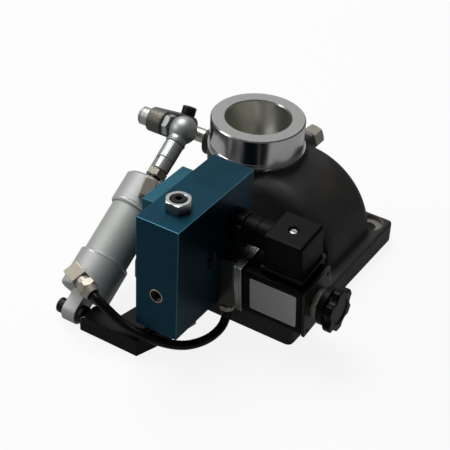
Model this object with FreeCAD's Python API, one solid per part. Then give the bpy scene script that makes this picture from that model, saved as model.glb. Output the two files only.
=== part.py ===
# Intake valve of a screw compressor: a throttle disc in a cast elbow, turned by a small air cylinder
# through a ball-jointed lever, with a control block and a solenoid valve on the same flange.
# Millimetres, +Z up. Origin: centre of the outlet, on the underside of the flange.
# +X runs along the throttle shaft, away from its lever. +Y runs away from the control block.
import FreeCAD, Part
import math
import os

V = FreeCAD.Vector
X_AXIS = V(1, 0, 0)
Y_AXIS = V(0, 1, 0)
Z_AXIS = V(0, 0, 1)

# Clearances
fit_gap = 0.05
shaft_gap = 0.05
face_gap = 0.3
thread_gap = 0.05

# Flange of the casting
flange_half_x = 61.0
flange_far_y = 49.5
flange_near_y = -92.5
flange_thickness = 14.7
flange_corner_radius = 3.0
bolt_inset_x = 14.0
bolt_y = 38.0
bolt_hole_radius = 5.5
bolt_seat_radius = 10.0
bolt_seat_depth = 4.0
outlet_radius = 26.0
outlet_depth = 10.0
gasket_radius = 32.0
gasket_width = 4.0
gasket_height = 2.5

# Arch and neck of the casting
arch_radius = 53.0
arch_half_width = 32.0
arch_edge_radius = 10.0
neck_x = -25.0
neck_radius = 33.0
neck_rise = 3.0
liner_seat_drop = 30.7
tapping_x = -6.0
tapping_drop = 8.7
tapping_boss_radius = 9.0
tapping_boss_y = 33.0
tapping_thread_radius = 5.0
tapping_thread_length = 9.0
tapping_collar_radius = 6.0
tapping_collar_length = 4.0
tapping_flats = 14.0
tapping_flats_length = 11.0
tapping_flats_turn = 12.0
tapping_bore_radius = 2.5

# Inlet collar with its liner
collar_radius = 32.0
collar_height = 21.7
collar_lip = 1.2
collar_lip_height = 1.6
collar_chamfer = 0.8
bore_radius = 22.0
liner_wall = 3.0

# Throttle shaft, disc and bushes
shaft_drop = 9.1
shaft_radius = 5.0
shaft_end_x = 6.2
bush_wall = 2.0
idle_bush_length = 7.0
boss_radius = 11.0
boss_reach = 4.0
seal_length = 2.0
disc_thickness = 2.5
disc_edge_gap = 0.4
closed_angle = 20.0
disc_screw_spread = 11.0
disc_screw_radius = 1.5
disc_screw_head_radius = 2.8

# Lever on the shaft
lever_inner_x = -78.4
lever_thickness = 11.5
lever_arm = 36.75
lever_angle = 145.5
lever_hub_radius = 9.8
lever_eye_radius = 8.4
stud_thread_radius = 4.0
stud_hex_flats = 13.0
stud_hex_length = 4.5
stud_neck_radius = 3.0
ball_radius = 5.0
lock_nut_radius = 6.2
lock_nut_length = 8.5
clamp_screw_angle = 62.0
clamp_head_radius = 5.0
clamp_head_length = 6.0
clamp_screw_radius = 3.0

# Ball socket and rod, measured from the ball along the rod
cylinder_x = -64.6
socket_head_radius = 9.5
socket_cavity_radius = 7.9
socket_mouth_radius = 6.3
socket_face = 6.5
socket_shank_radius = 6.5
socket_shank_end = 33.5
clip_offset = 10.6
clip_wire = 0.7
wrench_flats = 11.0
wrench_length = 8.5
jam_nut_flats = 13.0
jam_nut_length = 5.0
rod_radius = 4.0
rod_entry = 14.0

# Air cylinder, measured from its pivot along the rod
pivot_y = -150.2
pivot_z = 7.6
tongue_thickness = 10.0
tongue_radius = 7.4
pivot_radius = 4.0
cap_radius = 17.0
rear_cap_start = 12.0
rear_cap_length = 26.3
tube_seat_depth = 13.4
tube_radius = 15.2
tube_bore_radius = 12.5
tube_visible = 36.9
front_cap_length = 22.5
front_seat_depth = 12.0
piston_gap = 1.0
piston_length = 9.0
piston_seal_width = 2.4
rod_stroke = 31.3
spring_wire = 1.6
spring_coils = 7
rod_seal_length = 3.0
rear_port = 17.0
rear_port_turn = 1.2
front_port_turn = 28.5
port_radius = 4.0
elbow_side = 10.5
elbow_top = 27.0
elbow_turn = -23.0
elbow_neck_radius = 4.6
elbow_neck_length = 4.2
vent_side = 8.4
vent_length = 12.4
vent_rise = 4.0
vent_turn = 10.0
vent_thread_radius = 2.5

# Bracket that carries the pivot
bracket_thickness = 12.4
bracket_left_x = -56.0
bracket_near_y = -156.0
foot_depth = 13.5
bracket_right_x = -12.0
arm_bend_y = -124.0
arm_right_x = -1.0
arm_left_x = -25.0
foot_inner_x = -35.0
lap_end_y = -66.0
lap_height = 6.0
bracket_corner_radius = 4.5
pivot_head_radius = 5.0
pivot_head_length = 6.0
pivot_washer_radius = 7.0
pivot_washer_thickness = 3.3
pivot_thread_depth = 13.0

# Control block
block_x = -17.0
block_y = -150.0
block_z = 21.4
block_width = 30.0
block_length = 82.4
block_height = 79.8
block_chamfer = 0.5
plate_thickness = 7.6
plate_y = -133.0
plate_length = 42.5
plate_top_rise = 0.5
plate_height = 44.0
plate_screw_radius = 2.0
plate_head_radius = 3.6
plate_screw_reach = 4.0
plate_screw_socket = 3.0
standoff_y = -91.0
standoff_length = 22.5
clamp_bolt_x = -10.0
clamp_bolt_near_y = -86.0
clamp_bolt_far_y = -73.5
clamp_bolt_radius = 3.0
clamp_bolt_reach = 12.0
adjuster_y = -128.3
adjuster_radius = 4.0
adjuster_top_rise = 6.7
adjuster_length = 23.0
adjuster_socket = 4.0
lock_nut_flats = 13.0
lock_nut_height = 6.5
chamber_radius = 9.5
chamber_top_drop = 15.0
plug_thread_length = 9.5
plug_flats = 24.0
plug_head = 5.0
seat_thickness = 4.0
pilot_length = 12.0
pilot_start = 18.0
port_front_z = 48.9
port_front_radius = 4.7
port_insert_bore = 3.4
port_insert_length = 8.0
side_plug_y = -114.6
side_plug_z = 60.4
side_plug_radius = 5.2
side_plug_length = 4.0
side_plug_sink = 0.6

# Solenoid valve on the block
valve_width = 9.8
valve_near_y = -103.0
valve_depth = 24.0
valve_bottom_z = 19.2
valve_top_z = 55.0
yoke_count = 3
yoke_sheet = 1.8
yoke_gap = 0.15
yoke_overhang = 1.0
coil_length = 42.5
coil_near_y = -101.0
coil_width = 31.0
coil_height = 34.0
coil_axis_z = 37.6
coil_turn = 6.0
coil_edge_radius = 1.2
armature_radius = 6.5
armature_wall = 1.2
armature_reach = 15.0
plunger_length = 20.0
plunger_stroke = 1.2
plunger_offset = 6.0
end_plate_thickness = 2.0
end_plate_hole = 1.3
coil_nut_flats = 18.0
coil_nut_length = 4.5
knob_radius = 14.8
knob_length = 5.3
knob_neck_radius = 10.5
knob_neck_length = 1.2
knob_flange_length = 5.0
knob_flange_radius = 12.4
knob_lobes = 6
knob_lobe_turn = 32.0
knob_scallop_radius = 5.5
knob_valley_radius = 12.0
label_x = 34.0
label_length = 33.0
label_height = 25.5
label_thickness = 0.4
label_drop = 4.2

# Plug connector on the coil
base_height = 3.0
seal_plate_height = 2.6
connector_length = 27.0
connector_near_y = -96.2
connector_depth = 28.0
connector_height = 24.0
connector_x = 40.0
connector_edge_radius = 2.0
connector_screw_radius = 2.4
connector_screw_sink = 1.2
gland_radius = 9.3
gland_barrel_length = 18.6
gland_nut_length = 7.2
gland_nut_radius = 10.6
gland_nut_lobes = 8
gland_bore_radius = 4.5
gland_z_drop = 13.0

# Hose from the valve to the cylinder
hose_radius = 3.0
hose_nut_flats = 9.0
hose_nut_length = 5.0
hose_fitting_x = 17.5
hose_fitting_y = -99.4
hose_fitting_length = 3.6
rear_nut_flats = 12.0
rear_nut_length = 5.0
rear_nut_gap = 0.45
rear_sleeve_radius = 5.9
rear_sleeve_end_radius = 4.6
rear_sleeve_length = 4.4
hose_lead = 1.5
hose_middle = [
    V(-37.4, -154.4, 26.8),
    V(-28.0, -153.8, 20.8),
    V(-17.0, -153.2, 17.2),
    V(-6.0, -151.4, 15.2),
    V(3.2, -145.6, 10.8),
    V(10.4, -137.0, 6.6),
    V(15.2, -127.6, 4.8),
    V(17.9, -118.8, 4.2),
    V(18.4, -110.6, 4.0),
    V(18.1, -104.6, 4.6),
    V(17.7, -100.9, 7.4),
    V(17.5, -99.5, 11.0),
]

# Places worked out from the sizes above
block_far_y = block_y + block_length
block_top_z = block_z + block_height
block_right_x = block_x + block_width
neck_top_z = flange_thickness + arch_radius + neck_rise
collar_top_z = neck_top_z + collar_height
liner_seat_z = neck_top_z - liner_seat_drop
shaft_z = neck_top_z - shaft_drop
tapping_z = neck_top_z - tapping_drop
boss_end_x = neck_x - neck_radius - boss_reach
bolt_x = flange_half_x - bolt_inset_x
liner_radius = bore_radius + liner_wall
lever_outer_x = lever_inner_x - lever_thickness
ball_y = lever_arm * math.cos(math.radians(lever_angle))
ball_z = shaft_z + lever_arm * math.sin(math.radians(lever_angle))
rod_tilt = math.degrees(math.atan2(ball_z - pivot_z, ball_y - pivot_y))
pivot_to_ball = math.hypot(ball_z - pivot_z, ball_y - pivot_y)
rear_cap_end = rear_cap_start + rear_cap_length
front_cap_start = rear_cap_end + tube_visible
front_cap_end = front_cap_start + front_cap_length
tube_start = rear_cap_end - tube_seat_depth
tube_end = front_cap_start + front_seat_depth
piston_start = tube_start + piston_gap
piston_end = piston_start + piston_length
valve_x = block_right_x
yoke_x = valve_x + valve_width
coil_x = yoke_x + yoke_count * (yoke_sheet + yoke_gap)
coil_end_x = coil_x + coil_length
coil_axis_y = coil_near_y + coil_width / 2
coil_bottom_z = coil_axis_z - coil_height / 2
coil_top_z = coil_axis_z + coil_height / 2
adjuster_x = block_x + block_width / 2
chamber_top_z = block_top_z - chamber_top_drop
plug_top_z = block_z + plug_thread_length
pilot_bottom_z = block_z + pilot_start
spring_bottom_z = pilot_bottom_z + pilot_length
seat_bottom_z = chamber_top_z - 3.0 - seat_thickness
connector_bottom_z = coil_top_z + base_height + seal_plate_height
connector_top_z = connector_bottom_z + connector_height
gland_y = connector_near_y + connector_depth / 2
gland_z = connector_top_z - gland_z_drop


def box(x0, y0, z0, x1, y1, z1):
    """A box between two corners."""
    return Part.makeBox(x1 - x0, y1 - y0, z1 - z0, V(x0, y0, z0))


def rod(radius, start, end):
    """A round bar from one point to another."""
    way = end.sub(start)
    return Part.makeCylinder(radius, way.Length, start, way)


def ring(outer, inner, start, end):
    """A tube from one point to another."""
    return rod(outer, start, end).cut(rod(inner, start, end))


def prism(points, way):
    """A solid that a closed outline of points sweeps along a vector."""
    wire = Part.makePolygon(points + [points[0]])
    return Part.Face(wire).extrude(way)


def turned(profile, start, way):
    """A solid turned from (distance, radius) pairs about the line from start along way."""
    points = [V(radius, 0, distance) for distance, radius in profile]
    face = Part.Face(Part.makePolygon(points + [points[0]]))
    solid = face.revolve(V(0, 0, 0), Z_AXIS, 360)
    solid.Placement = FreeCAD.Placement(start, FreeCAD.Rotation(Z_AXIS, way))
    return solid


def hexagon(flats, start, way, turn=0.0, bevel=0.5):
    """A hexagon bar of a width across flats, with its corners turned off at both ends."""
    length = way.Length
    corner = flats / math.sqrt(3)
    points = []
    for step in range(6):
        angle = math.radians(60 * step + turn)
        points.append(V(corner * math.cos(angle), corner * math.sin(angle), 0))
    bar = prism(points, V(0, 0, length))
    edge = flats / 2 + 0.1
    trim = turned(
        [(0, 0), (0, edge), (bevel, corner + 0.1), (length - bevel, corner + 0.1), (length, edge), (length, 0)],
        V(0, 0, 0),
        Z_AXIS,
    )
    bar = bar.common(trim)
    bar.Placement = FreeCAD.Placement(start, FreeCAD.Rotation(Z_AXIS, way))
    return bar


def edges_where(shape, test):
    """The edges of a shape whose end points and middle all pass a test."""
    kept = []
    for edge in shape.Edges:
        middle = edge.valueAt((edge.FirstParameter + edge.LastParameter) / 2)
        spots = [vertex.Point for vertex in edge.Vertexes] + [middle]
        if all(test(spot) for spot in spots):
            kept.append(edge)
    return kept


def upright_edges(shape):
    """The straight vertical edges of a shape."""
    kept = []
    for edge in shape.Edges:
        if len(edge.Vertexes) == 2 and isinstance(edge.Curve, Part.Line):
            way = edge.Vertexes[1].Point.sub(edge.Vertexes[0].Point)
            if abs(way.x) < 1e-6 and abs(way.y) < 1e-6:
                kept.append(edge)
    return kept


def coil_spring(radius, wire, height, coils, start, way):
    """A helical spring of round wire."""
    path = Part.makeHelix((height - wire) / coils, height - wire, radius)
    section = Part.Wire(Part.makeCircle(wire / 2, V(radius, 0, 0), Y_AXIS))
    spring = Part.Wire(path).makePipeShell([section], True, True)
    spring.translate(V(0, 0, wire / 2))
    spring.Placement = FreeCAD.Placement(start, FreeCAD.Rotation(Z_AXIS, way)).multiply(spring.Placement)
    return spring


def rounded_route(points):
    """A wire of straight runs joined by tangent arcs, and the arcs' radii."""
    edges = []
    radii = []
    last = points[0]
    for index in range(1, len(points) - 1):
        corner = points[index]
        back = points[index - 1].sub(corner)
        ahead = points[index + 1].sub(corner)
        reach = 0.45 * min(back.Length, ahead.Length)
        half_turn = (math.pi - back.getAngle(ahead)) / 2
        radii.append(reach / math.tan(half_turn))
        back.normalize()
        ahead.normalize()
        start = corner + back * reach
        end = corner + ahead * reach
        inward = (back + ahead).normalize()
        to_middle = radii[-1] / math.cos(half_turn) - radii[-1]
        middle = corner + inward * to_middle
        edges.append(Part.LineSegment(last, start).toShape())
        edges.append(Part.Arc(start, middle, end).toShape())
        last = end
    edges.append(Part.LineSegment(last, points[-1]).toShape())
    return Part.Wire(edges), radii


# Places in the air cylinder's own frame: its rod along Z, the pivot at the origin, X as the part's X
def rod_frame(distance, across=0.0, turn=0.0):
    """A point at a distance along the rod, and across it at a turn about the rod from upright."""
    along = V(0, math.cos(math.radians(rod_tilt)), math.sin(math.radians(rod_tilt)))
    upright = V(0, -along.z, along.y)
    side = math.sin(math.radians(turn))
    up = math.cos(math.radians(turn))
    pivot = V(cylinder_x, pivot_y, pivot_z)
    return pivot + along * distance + (X_AXIS * side + upright * up) * across


def rod_way():
    """The unit vector along the rod, from the pivot to the ball."""
    return (rod_frame(1.0) - rod_frame(0.0)).normalize()


def make_casting():
    """The flange, arch and neck in one casting, with its duct, seats and holes."""
    flange = box(-flange_half_x, flange_near_y, 0, flange_half_x, flange_far_y, flange_thickness)
    flange = flange.makeFillet(flange_corner_radius, upright_edges(flange))
    arch = rod(
        arch_radius,
        V(0, -arch_half_width, flange_thickness),
        V(0, arch_half_width, flange_thickness),
    )
    rims = edges_where(arch, lambda spot: abs(abs(spot.y) - arch_half_width) < 1e-6)
    arch = arch.makeFillet(arch_edge_radius, rims)
    arch = arch.cut(box(-arch_radius, -arch_half_width, -arch_radius, arch_radius, arch_half_width, 1))
    neck = rod(neck_radius, V(neck_x, 0, flange_thickness / 2), V(neck_x, 0, neck_top_z))
    boss = rod(boss_radius, V(boss_end_x, 0, shaft_z), V(neck_x, 0, shaft_z))
    boss = boss.common(rod(boss_radius + neck_radius, V(neck_x, 0, 0), V(neck_x, 0, neck_top_z - 0.5)))
    tapping = rod(tapping_boss_radius, V(tapping_x, 10, tapping_z), V(tapping_x, tapping_boss_y, tapping_z))
    tapping = tapping.cut(box(-50, 0, neck_top_z - 0.5, 50, 60, neck_top_z + 20))
    casting = flange.fuse([arch, neck, boss, tapping])
    casting = casting.cut(duct())
    casting = casting.cut(rod(liner_radius, V(neck_x, 0, liner_seat_z), V(neck_x, 0, neck_top_z + 1)))
    bush_radius = shaft_radius + bush_wall
    casting = casting.cut(rod(bush_radius, V(boss_end_x - 1, 0, shaft_z), V(neck_x, 0, shaft_z)))
    idle_end = neck_x + liner_radius + idle_bush_length
    casting = casting.cut(rod(bush_radius, V(neck_x, 0, shaft_z), V(idle_end, 0, shaft_z)))
    casting = casting.cut(rod(tapping_thread_radius, V(tapping_x, 20, tapping_z), V(tapping_x, 60, tapping_z)))
    for side_x in (-bolt_x, bolt_x):
        for side_y in (-bolt_y, bolt_y):
            casting = casting.cut(rod(bolt_hole_radius, V(side_x, side_y, -1), V(side_x, side_y, flange_thickness + 1)))
            seat_z = flange_thickness - bolt_seat_depth
            casting = casting.cut(rod(bolt_seat_radius, V(side_x, side_y, seat_z), V(side_x, side_y, seat_z + 60)))
    groove = ring(
        gasket_radius + gasket_width / 2,
        gasket_radius - gasket_width / 2,
        V(0, 0, -1),
        V(0, 0, gasket_height),
    )
    casting = casting.cut(groove)
    lap = box(
        arm_left_x - fit_gap,
        flange_near_y - 1,
        -1,
        arm_right_x + fit_gap,
        lap_end_y + fit_gap,
        lap_height + fit_gap,
    )
    casting = casting.cut(lap)
    for bolt_place in (clamp_bolt_near_y, clamp_bolt_far_y):
        hole = rod(clamp_bolt_radius + fit_gap, V(clamp_bolt_x, bolt_place, -1), V(clamp_bolt_x, bolt_place, 60))
        casting = casting.cut(hole)
    return casting


def duct():
    """The air's way from the neck to the outlet: an offset round duct and a straight mouth."""
    top = Part.Wire(Part.makeCircle(bore_radius, V(neck_x, 0, liner_seat_z + 1)))
    low = Part.Wire(Part.makeCircle(outlet_radius, V(0, 0, outlet_depth)))
    bend = Part.makeLoft([top, low], True, True)
    mouth = rod(outlet_radius, V(0, 0, -1), V(0, 0, outlet_depth))
    return bend.fuse(mouth)


def make_collar():
    """The turned inlet collar, with the liner that the disc closes in."""
    profile = [
        (liner_seat_z, bore_radius),
        (liner_seat_z, liner_radius - fit_gap),
        (neck_top_z, liner_radius - fit_gap),
        (neck_top_z, collar_radius + collar_lip),
        (neck_top_z + collar_lip_height, collar_radius + collar_lip),
        (neck_top_z + collar_lip_height, collar_radius),
        (collar_top_z - collar_chamfer, collar_radius),
        (collar_top_z, collar_radius - collar_chamfer),
        (collar_top_z, bore_radius + collar_chamfer),
        (collar_top_z - collar_chamfer, bore_radius),
    ]
    collar = turned(profile, V(neck_x, 0, 0), Z_AXIS)
    return collar.cut(rod(shaft_radius + 0.5, V(-70, 0, shaft_z), V(20, 0, shaft_z)))


def make_bushes():
    """The two plain bushes that carry the throttle shaft."""
    outer = shaft_radius + bush_wall - fit_gap
    inner = shaft_radius + shaft_gap
    drive_start = boss_end_x + seal_length
    idle_start = neck_x + liner_radius
    drive = ring(outer, inner, V(drive_start, 0, shaft_z), V(neck_x - liner_radius, 0, shaft_z))
    idle = ring(outer, inner, V(idle_start, 0, shaft_z), V(idle_start + idle_bush_length - 0.1, 0, shaft_z))
    return Part.makeCompound([drive, idle])


def make_shaft_seal():
    """The wiper ring at the mouth of the drive bush."""
    return ring(
        shaft_radius + bush_wall - fit_gap,
        shaft_radius + shaft_gap,
        V(boss_end_x, 0, shaft_z),
        V(boss_end_x + seal_length, 0, shaft_z),
    )


def make_outlet_gasket():
    """The flat ring in the groove under the flange."""
    return ring(
        gasket_radius + gasket_width / 2 - fit_gap,
        gasket_radius - gasket_width / 2 + fit_gap,
        V(0, 0, 0),
        V(0, 0, gasket_height),
    )


def make_tapping_fitting():
    """The hexagon connector in the neck's pressure tapping."""
    start = V(tapping_x, tapping_boss_y, tapping_z)
    thread_start = start - Y_AXIS * tapping_thread_length
    collar_end = start + Y_AXIS * tapping_collar_length
    end = collar_end + Y_AXIS * tapping_flats_length
    thread = rod(tapping_thread_radius - thread_gap, thread_start, start)
    collar = rod(tapping_collar_radius, start, collar_end)
    body = hexagon(tapping_flats, collar_end, end - collar_end, tapping_flats_turn, 0.8)
    fitting = thread.fuse([collar, body])
    return fitting.cut(rod(tapping_bore_radius, thread_start - Y_AXIS, end + Y_AXIS))


def disc_frame(shape):
    """Places a shape made about the shaft's axis at its height, turned to the closed angle."""
    turn = FreeCAD.Rotation(X_AXIS, -closed_angle)
    shape.Placement = FreeCAD.Placement(V(neck_x, 0, shaft_z), turn).multiply(shape.Placement)
    return shape


def make_disc():
    """The throttle disc: an oval plate that lies at the closed angle in the round bore."""
    half = disc_thickness / 2
    plate = disc_frame(box(-40, -40, -half, 40, 40, half))
    reach = bore_radius - disc_edge_gap
    disc = plate.common(rod(reach, V(neck_x, 0, shaft_z - 30), V(neck_x, 0, shaft_z + 30)))
    for side in (-1, 1):
        hole = rod(disc_screw_radius + fit_gap, V(side * disc_screw_spread, 0, -8), V(side * disc_screw_spread, 0, 8))
        disc = disc.cut(disc_frame(hole))
    return disc


def make_disc_screws():
    """The two screws that hold the disc in the shaft's slot."""
    screws = []
    for side in (-1, 1):
        place = side * disc_screw_spread
        shank = rod(disc_screw_radius, V(place, 0, -shaft_radius + 0.6), V(place, 0, shaft_radius - 0.4))
        head = rod(disc_screw_head_radius, V(place, 0, shaft_radius - 0.4), V(place, 0, shaft_radius + 1.2))
        screws.append(disc_frame(shank.fuse(head)))
    return Part.makeCompound(screws)


def make_shaft():
    """The throttle shaft, slotted for the disc."""
    shaft = rod(shaft_radius, V(lever_outer_x - 1.5, 0, shaft_z), V(shaft_end_x, 0, shaft_z))
    half = disc_thickness / 2 + fit_gap
    reach = bore_radius - disc_edge_gap + 0.2
    slot = disc_frame(box(-reach, -shaft_radius - 1, -half, reach, shaft_radius + 1, half))
    shaft = shaft.cut(slot)
    for side in (-1, 1):
        place = side * disc_screw_spread
        hole = rod(disc_screw_radius + fit_gap, V(place, 0, -8), V(place, 0, 8))
        seat = rod(disc_screw_head_radius + fit_gap, V(place, 0, shaft_radius - 0.4), V(place, 0, 8))
        shaft = shaft.cut(disc_frame(hole.fuse(seat)))
    return shaft.cut(clamp_screw_hole())


def clamp_way():
    """The unit vector along the lever's clamping screw, out of the hub."""
    angle = math.radians(clamp_screw_angle)
    return V(0, math.cos(angle), math.sin(angle))


def clamp_screw_hole():
    """The hole of the lever's clamping screw, into the shaft."""
    middle = V((lever_inner_x + lever_outer_x) / 2, 0, shaft_z)
    return rod(clamp_screw_radius + fit_gap, middle + clamp_way() * 2.5, middle + clamp_way() * 30)


def make_clamp_screw():
    """The socket-head screw that fixes the lever on the shaft."""
    middle = V((lever_inner_x + lever_outer_x) / 2, 0, shaft_z)
    seat = middle + clamp_way() * lever_hub_radius
    shank = rod(clamp_screw_radius, middle + clamp_way() * 2.6, seat)
    head = rod(clamp_head_radius, seat, seat + clamp_way() * clamp_head_length)
    socket = hexagon(5.0, seat + clamp_way() * (clamp_head_length - 3.0), clamp_way() * 4.0, 0.0, 0.0)
    return shank.fuse(head).cut(socket)


def make_lever():
    """The throttle lever: a hub on the shaft and an eye for the ball stud."""
    hub = V(lever_outer_x, 0, shaft_z)
    eye = V(lever_outer_x, ball_y, ball_z)
    way = X_AXIS * lever_thickness
    span = eye - hub
    lean = math.asin((lever_hub_radius - lever_eye_radius) / span.Length)
    base = math.atan2(span.z, span.y)
    corners = []
    for centre, radius, sign in (
        (hub, lever_hub_radius, 1),
        (eye, lever_eye_radius, 1),
        (eye, lever_eye_radius, -1),
        (hub, lever_hub_radius, -1),
    ):
        angle = base + sign * (math.pi / 2 - lean)
        corners.append(centre + V(0, math.cos(angle), math.sin(angle)) * radius)
    web = prism(corners, way)
    lever = web.fuse([rod(lever_hub_radius, hub, hub + way), rod(lever_eye_radius, eye, eye + way)])
    lever = lever.removeSplitter()
    rims = [edge for edge in lever.Edges if abs(edge.Vertexes[0].X - edge.Vertexes[-1].X) < 1e-6]
    lever = lever.makeChamfer(0.9, rims)
    seat = V(lever_outer_x + lever_thickness / 2, 0, shaft_z) + clamp_way() * lever_hub_radius
    lever = lever.cut(rod(clamp_head_radius + fit_gap, seat, seat + clamp_way() * 8))
    lever = lever.cut(rod(shaft_radius + 0.02, hub - X_AXIS, hub + way + X_AXIS))
    lever = lever.cut(rod(stud_thread_radius + thread_gap, eye - X_AXIS, eye + way + X_AXIS))
    return lever.cut(clamp_screw_hole())


def make_ball_stud():
    """The ball stud: thread, hexagon, neck and ball in one piece."""
    ball = V(cylinder_x, ball_y, ball_z)
    thread_end = V(lever_outer_x - lock_nut_length - 0.6, ball_y, ball_z)
    hex_start = V(lever_inner_x, ball_y, ball_z)
    thread = rod(stud_thread_radius, thread_end, hex_start)
    head = hexagon(stud_hex_flats, hex_start, X_AXIS * stud_hex_length, 10.0, 0.6)
    neck = rod(stud_neck_radius, hex_start, ball)
    return thread.fuse([head, neck, Part.makeSphere(ball_radius, ball)])


def make_lock_nut():
    """The round lock nut behind the lever."""
    seat = V(lever_outer_x, ball_y, ball_z)
    profile = [
        (0, stud_thread_radius + thread_gap),
        (0, lock_nut_radius),
        (lock_nut_length - 1.2, lock_nut_radius),
        (lock_nut_length, lock_nut_radius - 1.2),
        (lock_nut_length, stud_thread_radius + thread_gap),
    ]
    return turned(profile, seat, V(-1, 0, 0))


def make_ball_socket():
    """The ball socket: a hollow head open towards the lever, and a threaded shank."""
    ball = V(cylinder_x, ball_y, ball_z)
    head = Part.makeSphere(socket_head_radius, ball)
    head = head.cut(box(ball.x - 20, ball.y - 20, ball.z - 20, ball.x - socket_face, ball.y + 20, ball.z + 20))
    from_ball = pivot_to_ball
    shank = rod(socket_shank_radius, rod_frame(from_ball - socket_shank_end), ball)
    socket = head.fuse(shank)
    socket = socket.cut(Part.makeSphere(socket_cavity_radius, ball))
    socket = socket.cut(rod(socket_mouth_radius, ball, ball - X_AXIS * 12))
    groove_start = from_ball - clip_offset - clip_wire
    groove_end = from_ball - clip_offset + clip_wire
    groove = ring(
        socket_shank_radius + 1,
        socket_shank_radius - clip_wire,
        rod_frame(groove_start),
        rod_frame(groove_end),
    )
    socket = socket.cut(groove)
    flats_end = from_ball - socket_shank_end
    for side in (-1, 1):
        flat = Part.makeBox(6, 30, wrench_length, V(-3, -15, 0))
        flat.translate(V(side * (wrench_flats / 2 + 3), 0, 0))
        flat.Placement = rod_placement(flats_end, 50).multiply(flat.Placement)
        socket = socket.cut(flat)
    hole = rod(rod_radius + thread_gap, rod_frame(from_ball - socket_shank_end - 1), rod_frame(from_ball - rod_entry))
    return socket.cut(hole)


def rod_placement(distance, turn=0.0):
    """The placement at a distance along the rod, turned about it."""
    lean = FreeCAD.Rotation(X_AXIS, rod_tilt - 90)
    spin = FreeCAD.Rotation(Z_AXIS, turn)
    return FreeCAD.Placement(rod_frame(distance), lean.multiply(spin))


def make_safety_clip():
    """The wire clip in the groove of the socket's shank."""
    centre = pivot_to_ball - clip_offset
    hoop = Part.makeTorus(socket_shank_radius, clip_wire * 0.9, V(0, 0, 0), Z_AXIS, 0, 360, 320)
    hoop.Placement = rod_placement(centre, 110).multiply(hoop.Placement)
    return hoop


def make_jam_nut():
    """The nut that locks the rod in the ball socket."""
    end = pivot_to_ball - socket_shank_end - 0.2
    start = rod_frame(end - jam_nut_length)
    nut = hexagon(jam_nut_flats, start, rod_way() * jam_nut_length, 0.0, 0.7)
    return nut.cut(rod(rod_radius + thread_gap, rod_frame(end - jam_nut_length - 1), rod_frame(end + 1)))


def make_rod():
    """The piston rod, from the piston into the ball socket."""
    return rod(rod_radius, rod_frame(piston_start + 0.5), rod_frame(pivot_to_ball - rod_entry - 0.5))


def make_piston():
    """The piston, grooved for its seal."""
    running = tube_bore_radius - 0.15
    middle = piston_start + piston_length / 2
    piston = ring(running, rod_radius + fit_gap, rod_frame(piston_start), rod_frame(piston_end))
    groove = ring(
        tube_bore_radius + 1,
        running - 2.0,
        rod_frame(middle - piston_seal_width / 2 - fit_gap),
        rod_frame(middle + piston_seal_width / 2 + fit_gap),
    )
    return piston.cut(groove)


def make_piston_seal():
    """The seal ring on the piston."""
    middle = piston_start + piston_length / 2
    return ring(
        tube_bore_radius - shaft_gap,
        tube_bore_radius - 2.1,
        rod_frame(middle - piston_seal_width / 2),
        rod_frame(middle + piston_seal_width / 2),
    )


def make_tube():
    """The cylinder tube."""
    return ring(tube_radius, tube_bore_radius, rod_frame(tube_start), rod_frame(tube_end))


def make_rear_cap():
    """The rear cap with its tongue and its air port."""
    profile = [
        (rear_cap_start, 0),
        (rear_cap_start, cap_radius - 0.8),
        (rear_cap_start + 0.8, cap_radius),
        (rear_cap_end - 0.8, cap_radius),
        (rear_cap_end, cap_radius - 0.8),
        (rear_cap_end, tube_radius + fit_gap),
        (tube_start, tube_radius + fit_gap),
        (tube_start, 0),
    ]
    cap = turned(profile, rod_frame(0), rod_way())
    half = tongue_thickness / 2
    tongue = Part.makeBox(2 * half, 2 * tongue_radius, rear_cap_start + 0.5, V(-half, -tongue_radius, 0))
    tongue.Placement = rod_placement(0).multiply(tongue.Placement)
    eye = rod(tongue_radius, V(cylinder_x - half, pivot_y, pivot_z), V(cylinder_x + half, pivot_y, pivot_z))
    cap = cap.fuse([tongue, eye])
    pin_hole = pivot_radius + shaft_gap
    cap = cap.cut(rod(pin_hole, V(cylinder_x - 20, pivot_y, pivot_z), V(cylinder_x + 20, pivot_y, pivot_z)))
    cap = cap.cut(port_hole(rear_port, rear_port_turn))
    return cap.cut(rod(2.0, rod_frame(rear_port), rod_frame(tube_start + 1)))


def port_hole(distance, turn):
    """A threaded hole across a cap, down to its middle."""
    return rod(port_radius + thread_gap, rod_frame(distance), rod_frame(distance, 30, turn))


def make_front_cap():
    """The front cap, bored for the rod and its seal."""
    bore = rod_radius + 0.15
    seal_start = front_cap_end - 1.5 - rod_seal_length
    profile = [
        (front_cap_start, tube_radius + fit_gap),
        (front_cap_start, cap_radius - 0.8),
        (front_cap_start + 0.8, cap_radius),
        (front_cap_end - 1.6, cap_radius),
        (front_cap_end, cap_radius - 1.6),
        (front_cap_end, bore),
        (front_cap_end - 1.5, bore),
        (front_cap_end - 1.5, rod_radius + 3.0),
        (seal_start, rod_radius + 3.0),
        (seal_start, bore),
        (tube_end, bore),
        (tube_end, tube_radius + fit_gap),
    ]
    cap = turned(profile, rod_frame(0), rod_way())
    vent_start = rod_frame(vent_place(), tube_bore_radius - 1, front_port_turn)
    vent_end = rod_frame(vent_place(), 30, front_port_turn)
    return cap.cut(rod(vent_thread_radius, vent_start, vent_end))


def vent_place():
    """The vent's distance from the pivot: in the wall between the tube's end and the seal."""
    return tube_end + vent_thread_radius + 0.3


def make_rod_seal():
    """The lip seal round the rod, in the front cap."""
    seal_start = front_cap_end - 1.5 - rod_seal_length
    return ring(
        rod_radius + 3.0 - fit_gap,
        rod_radius + shaft_gap,
        rod_frame(seal_start),
        rod_frame(seal_start + rod_seal_length),
    )


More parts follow.
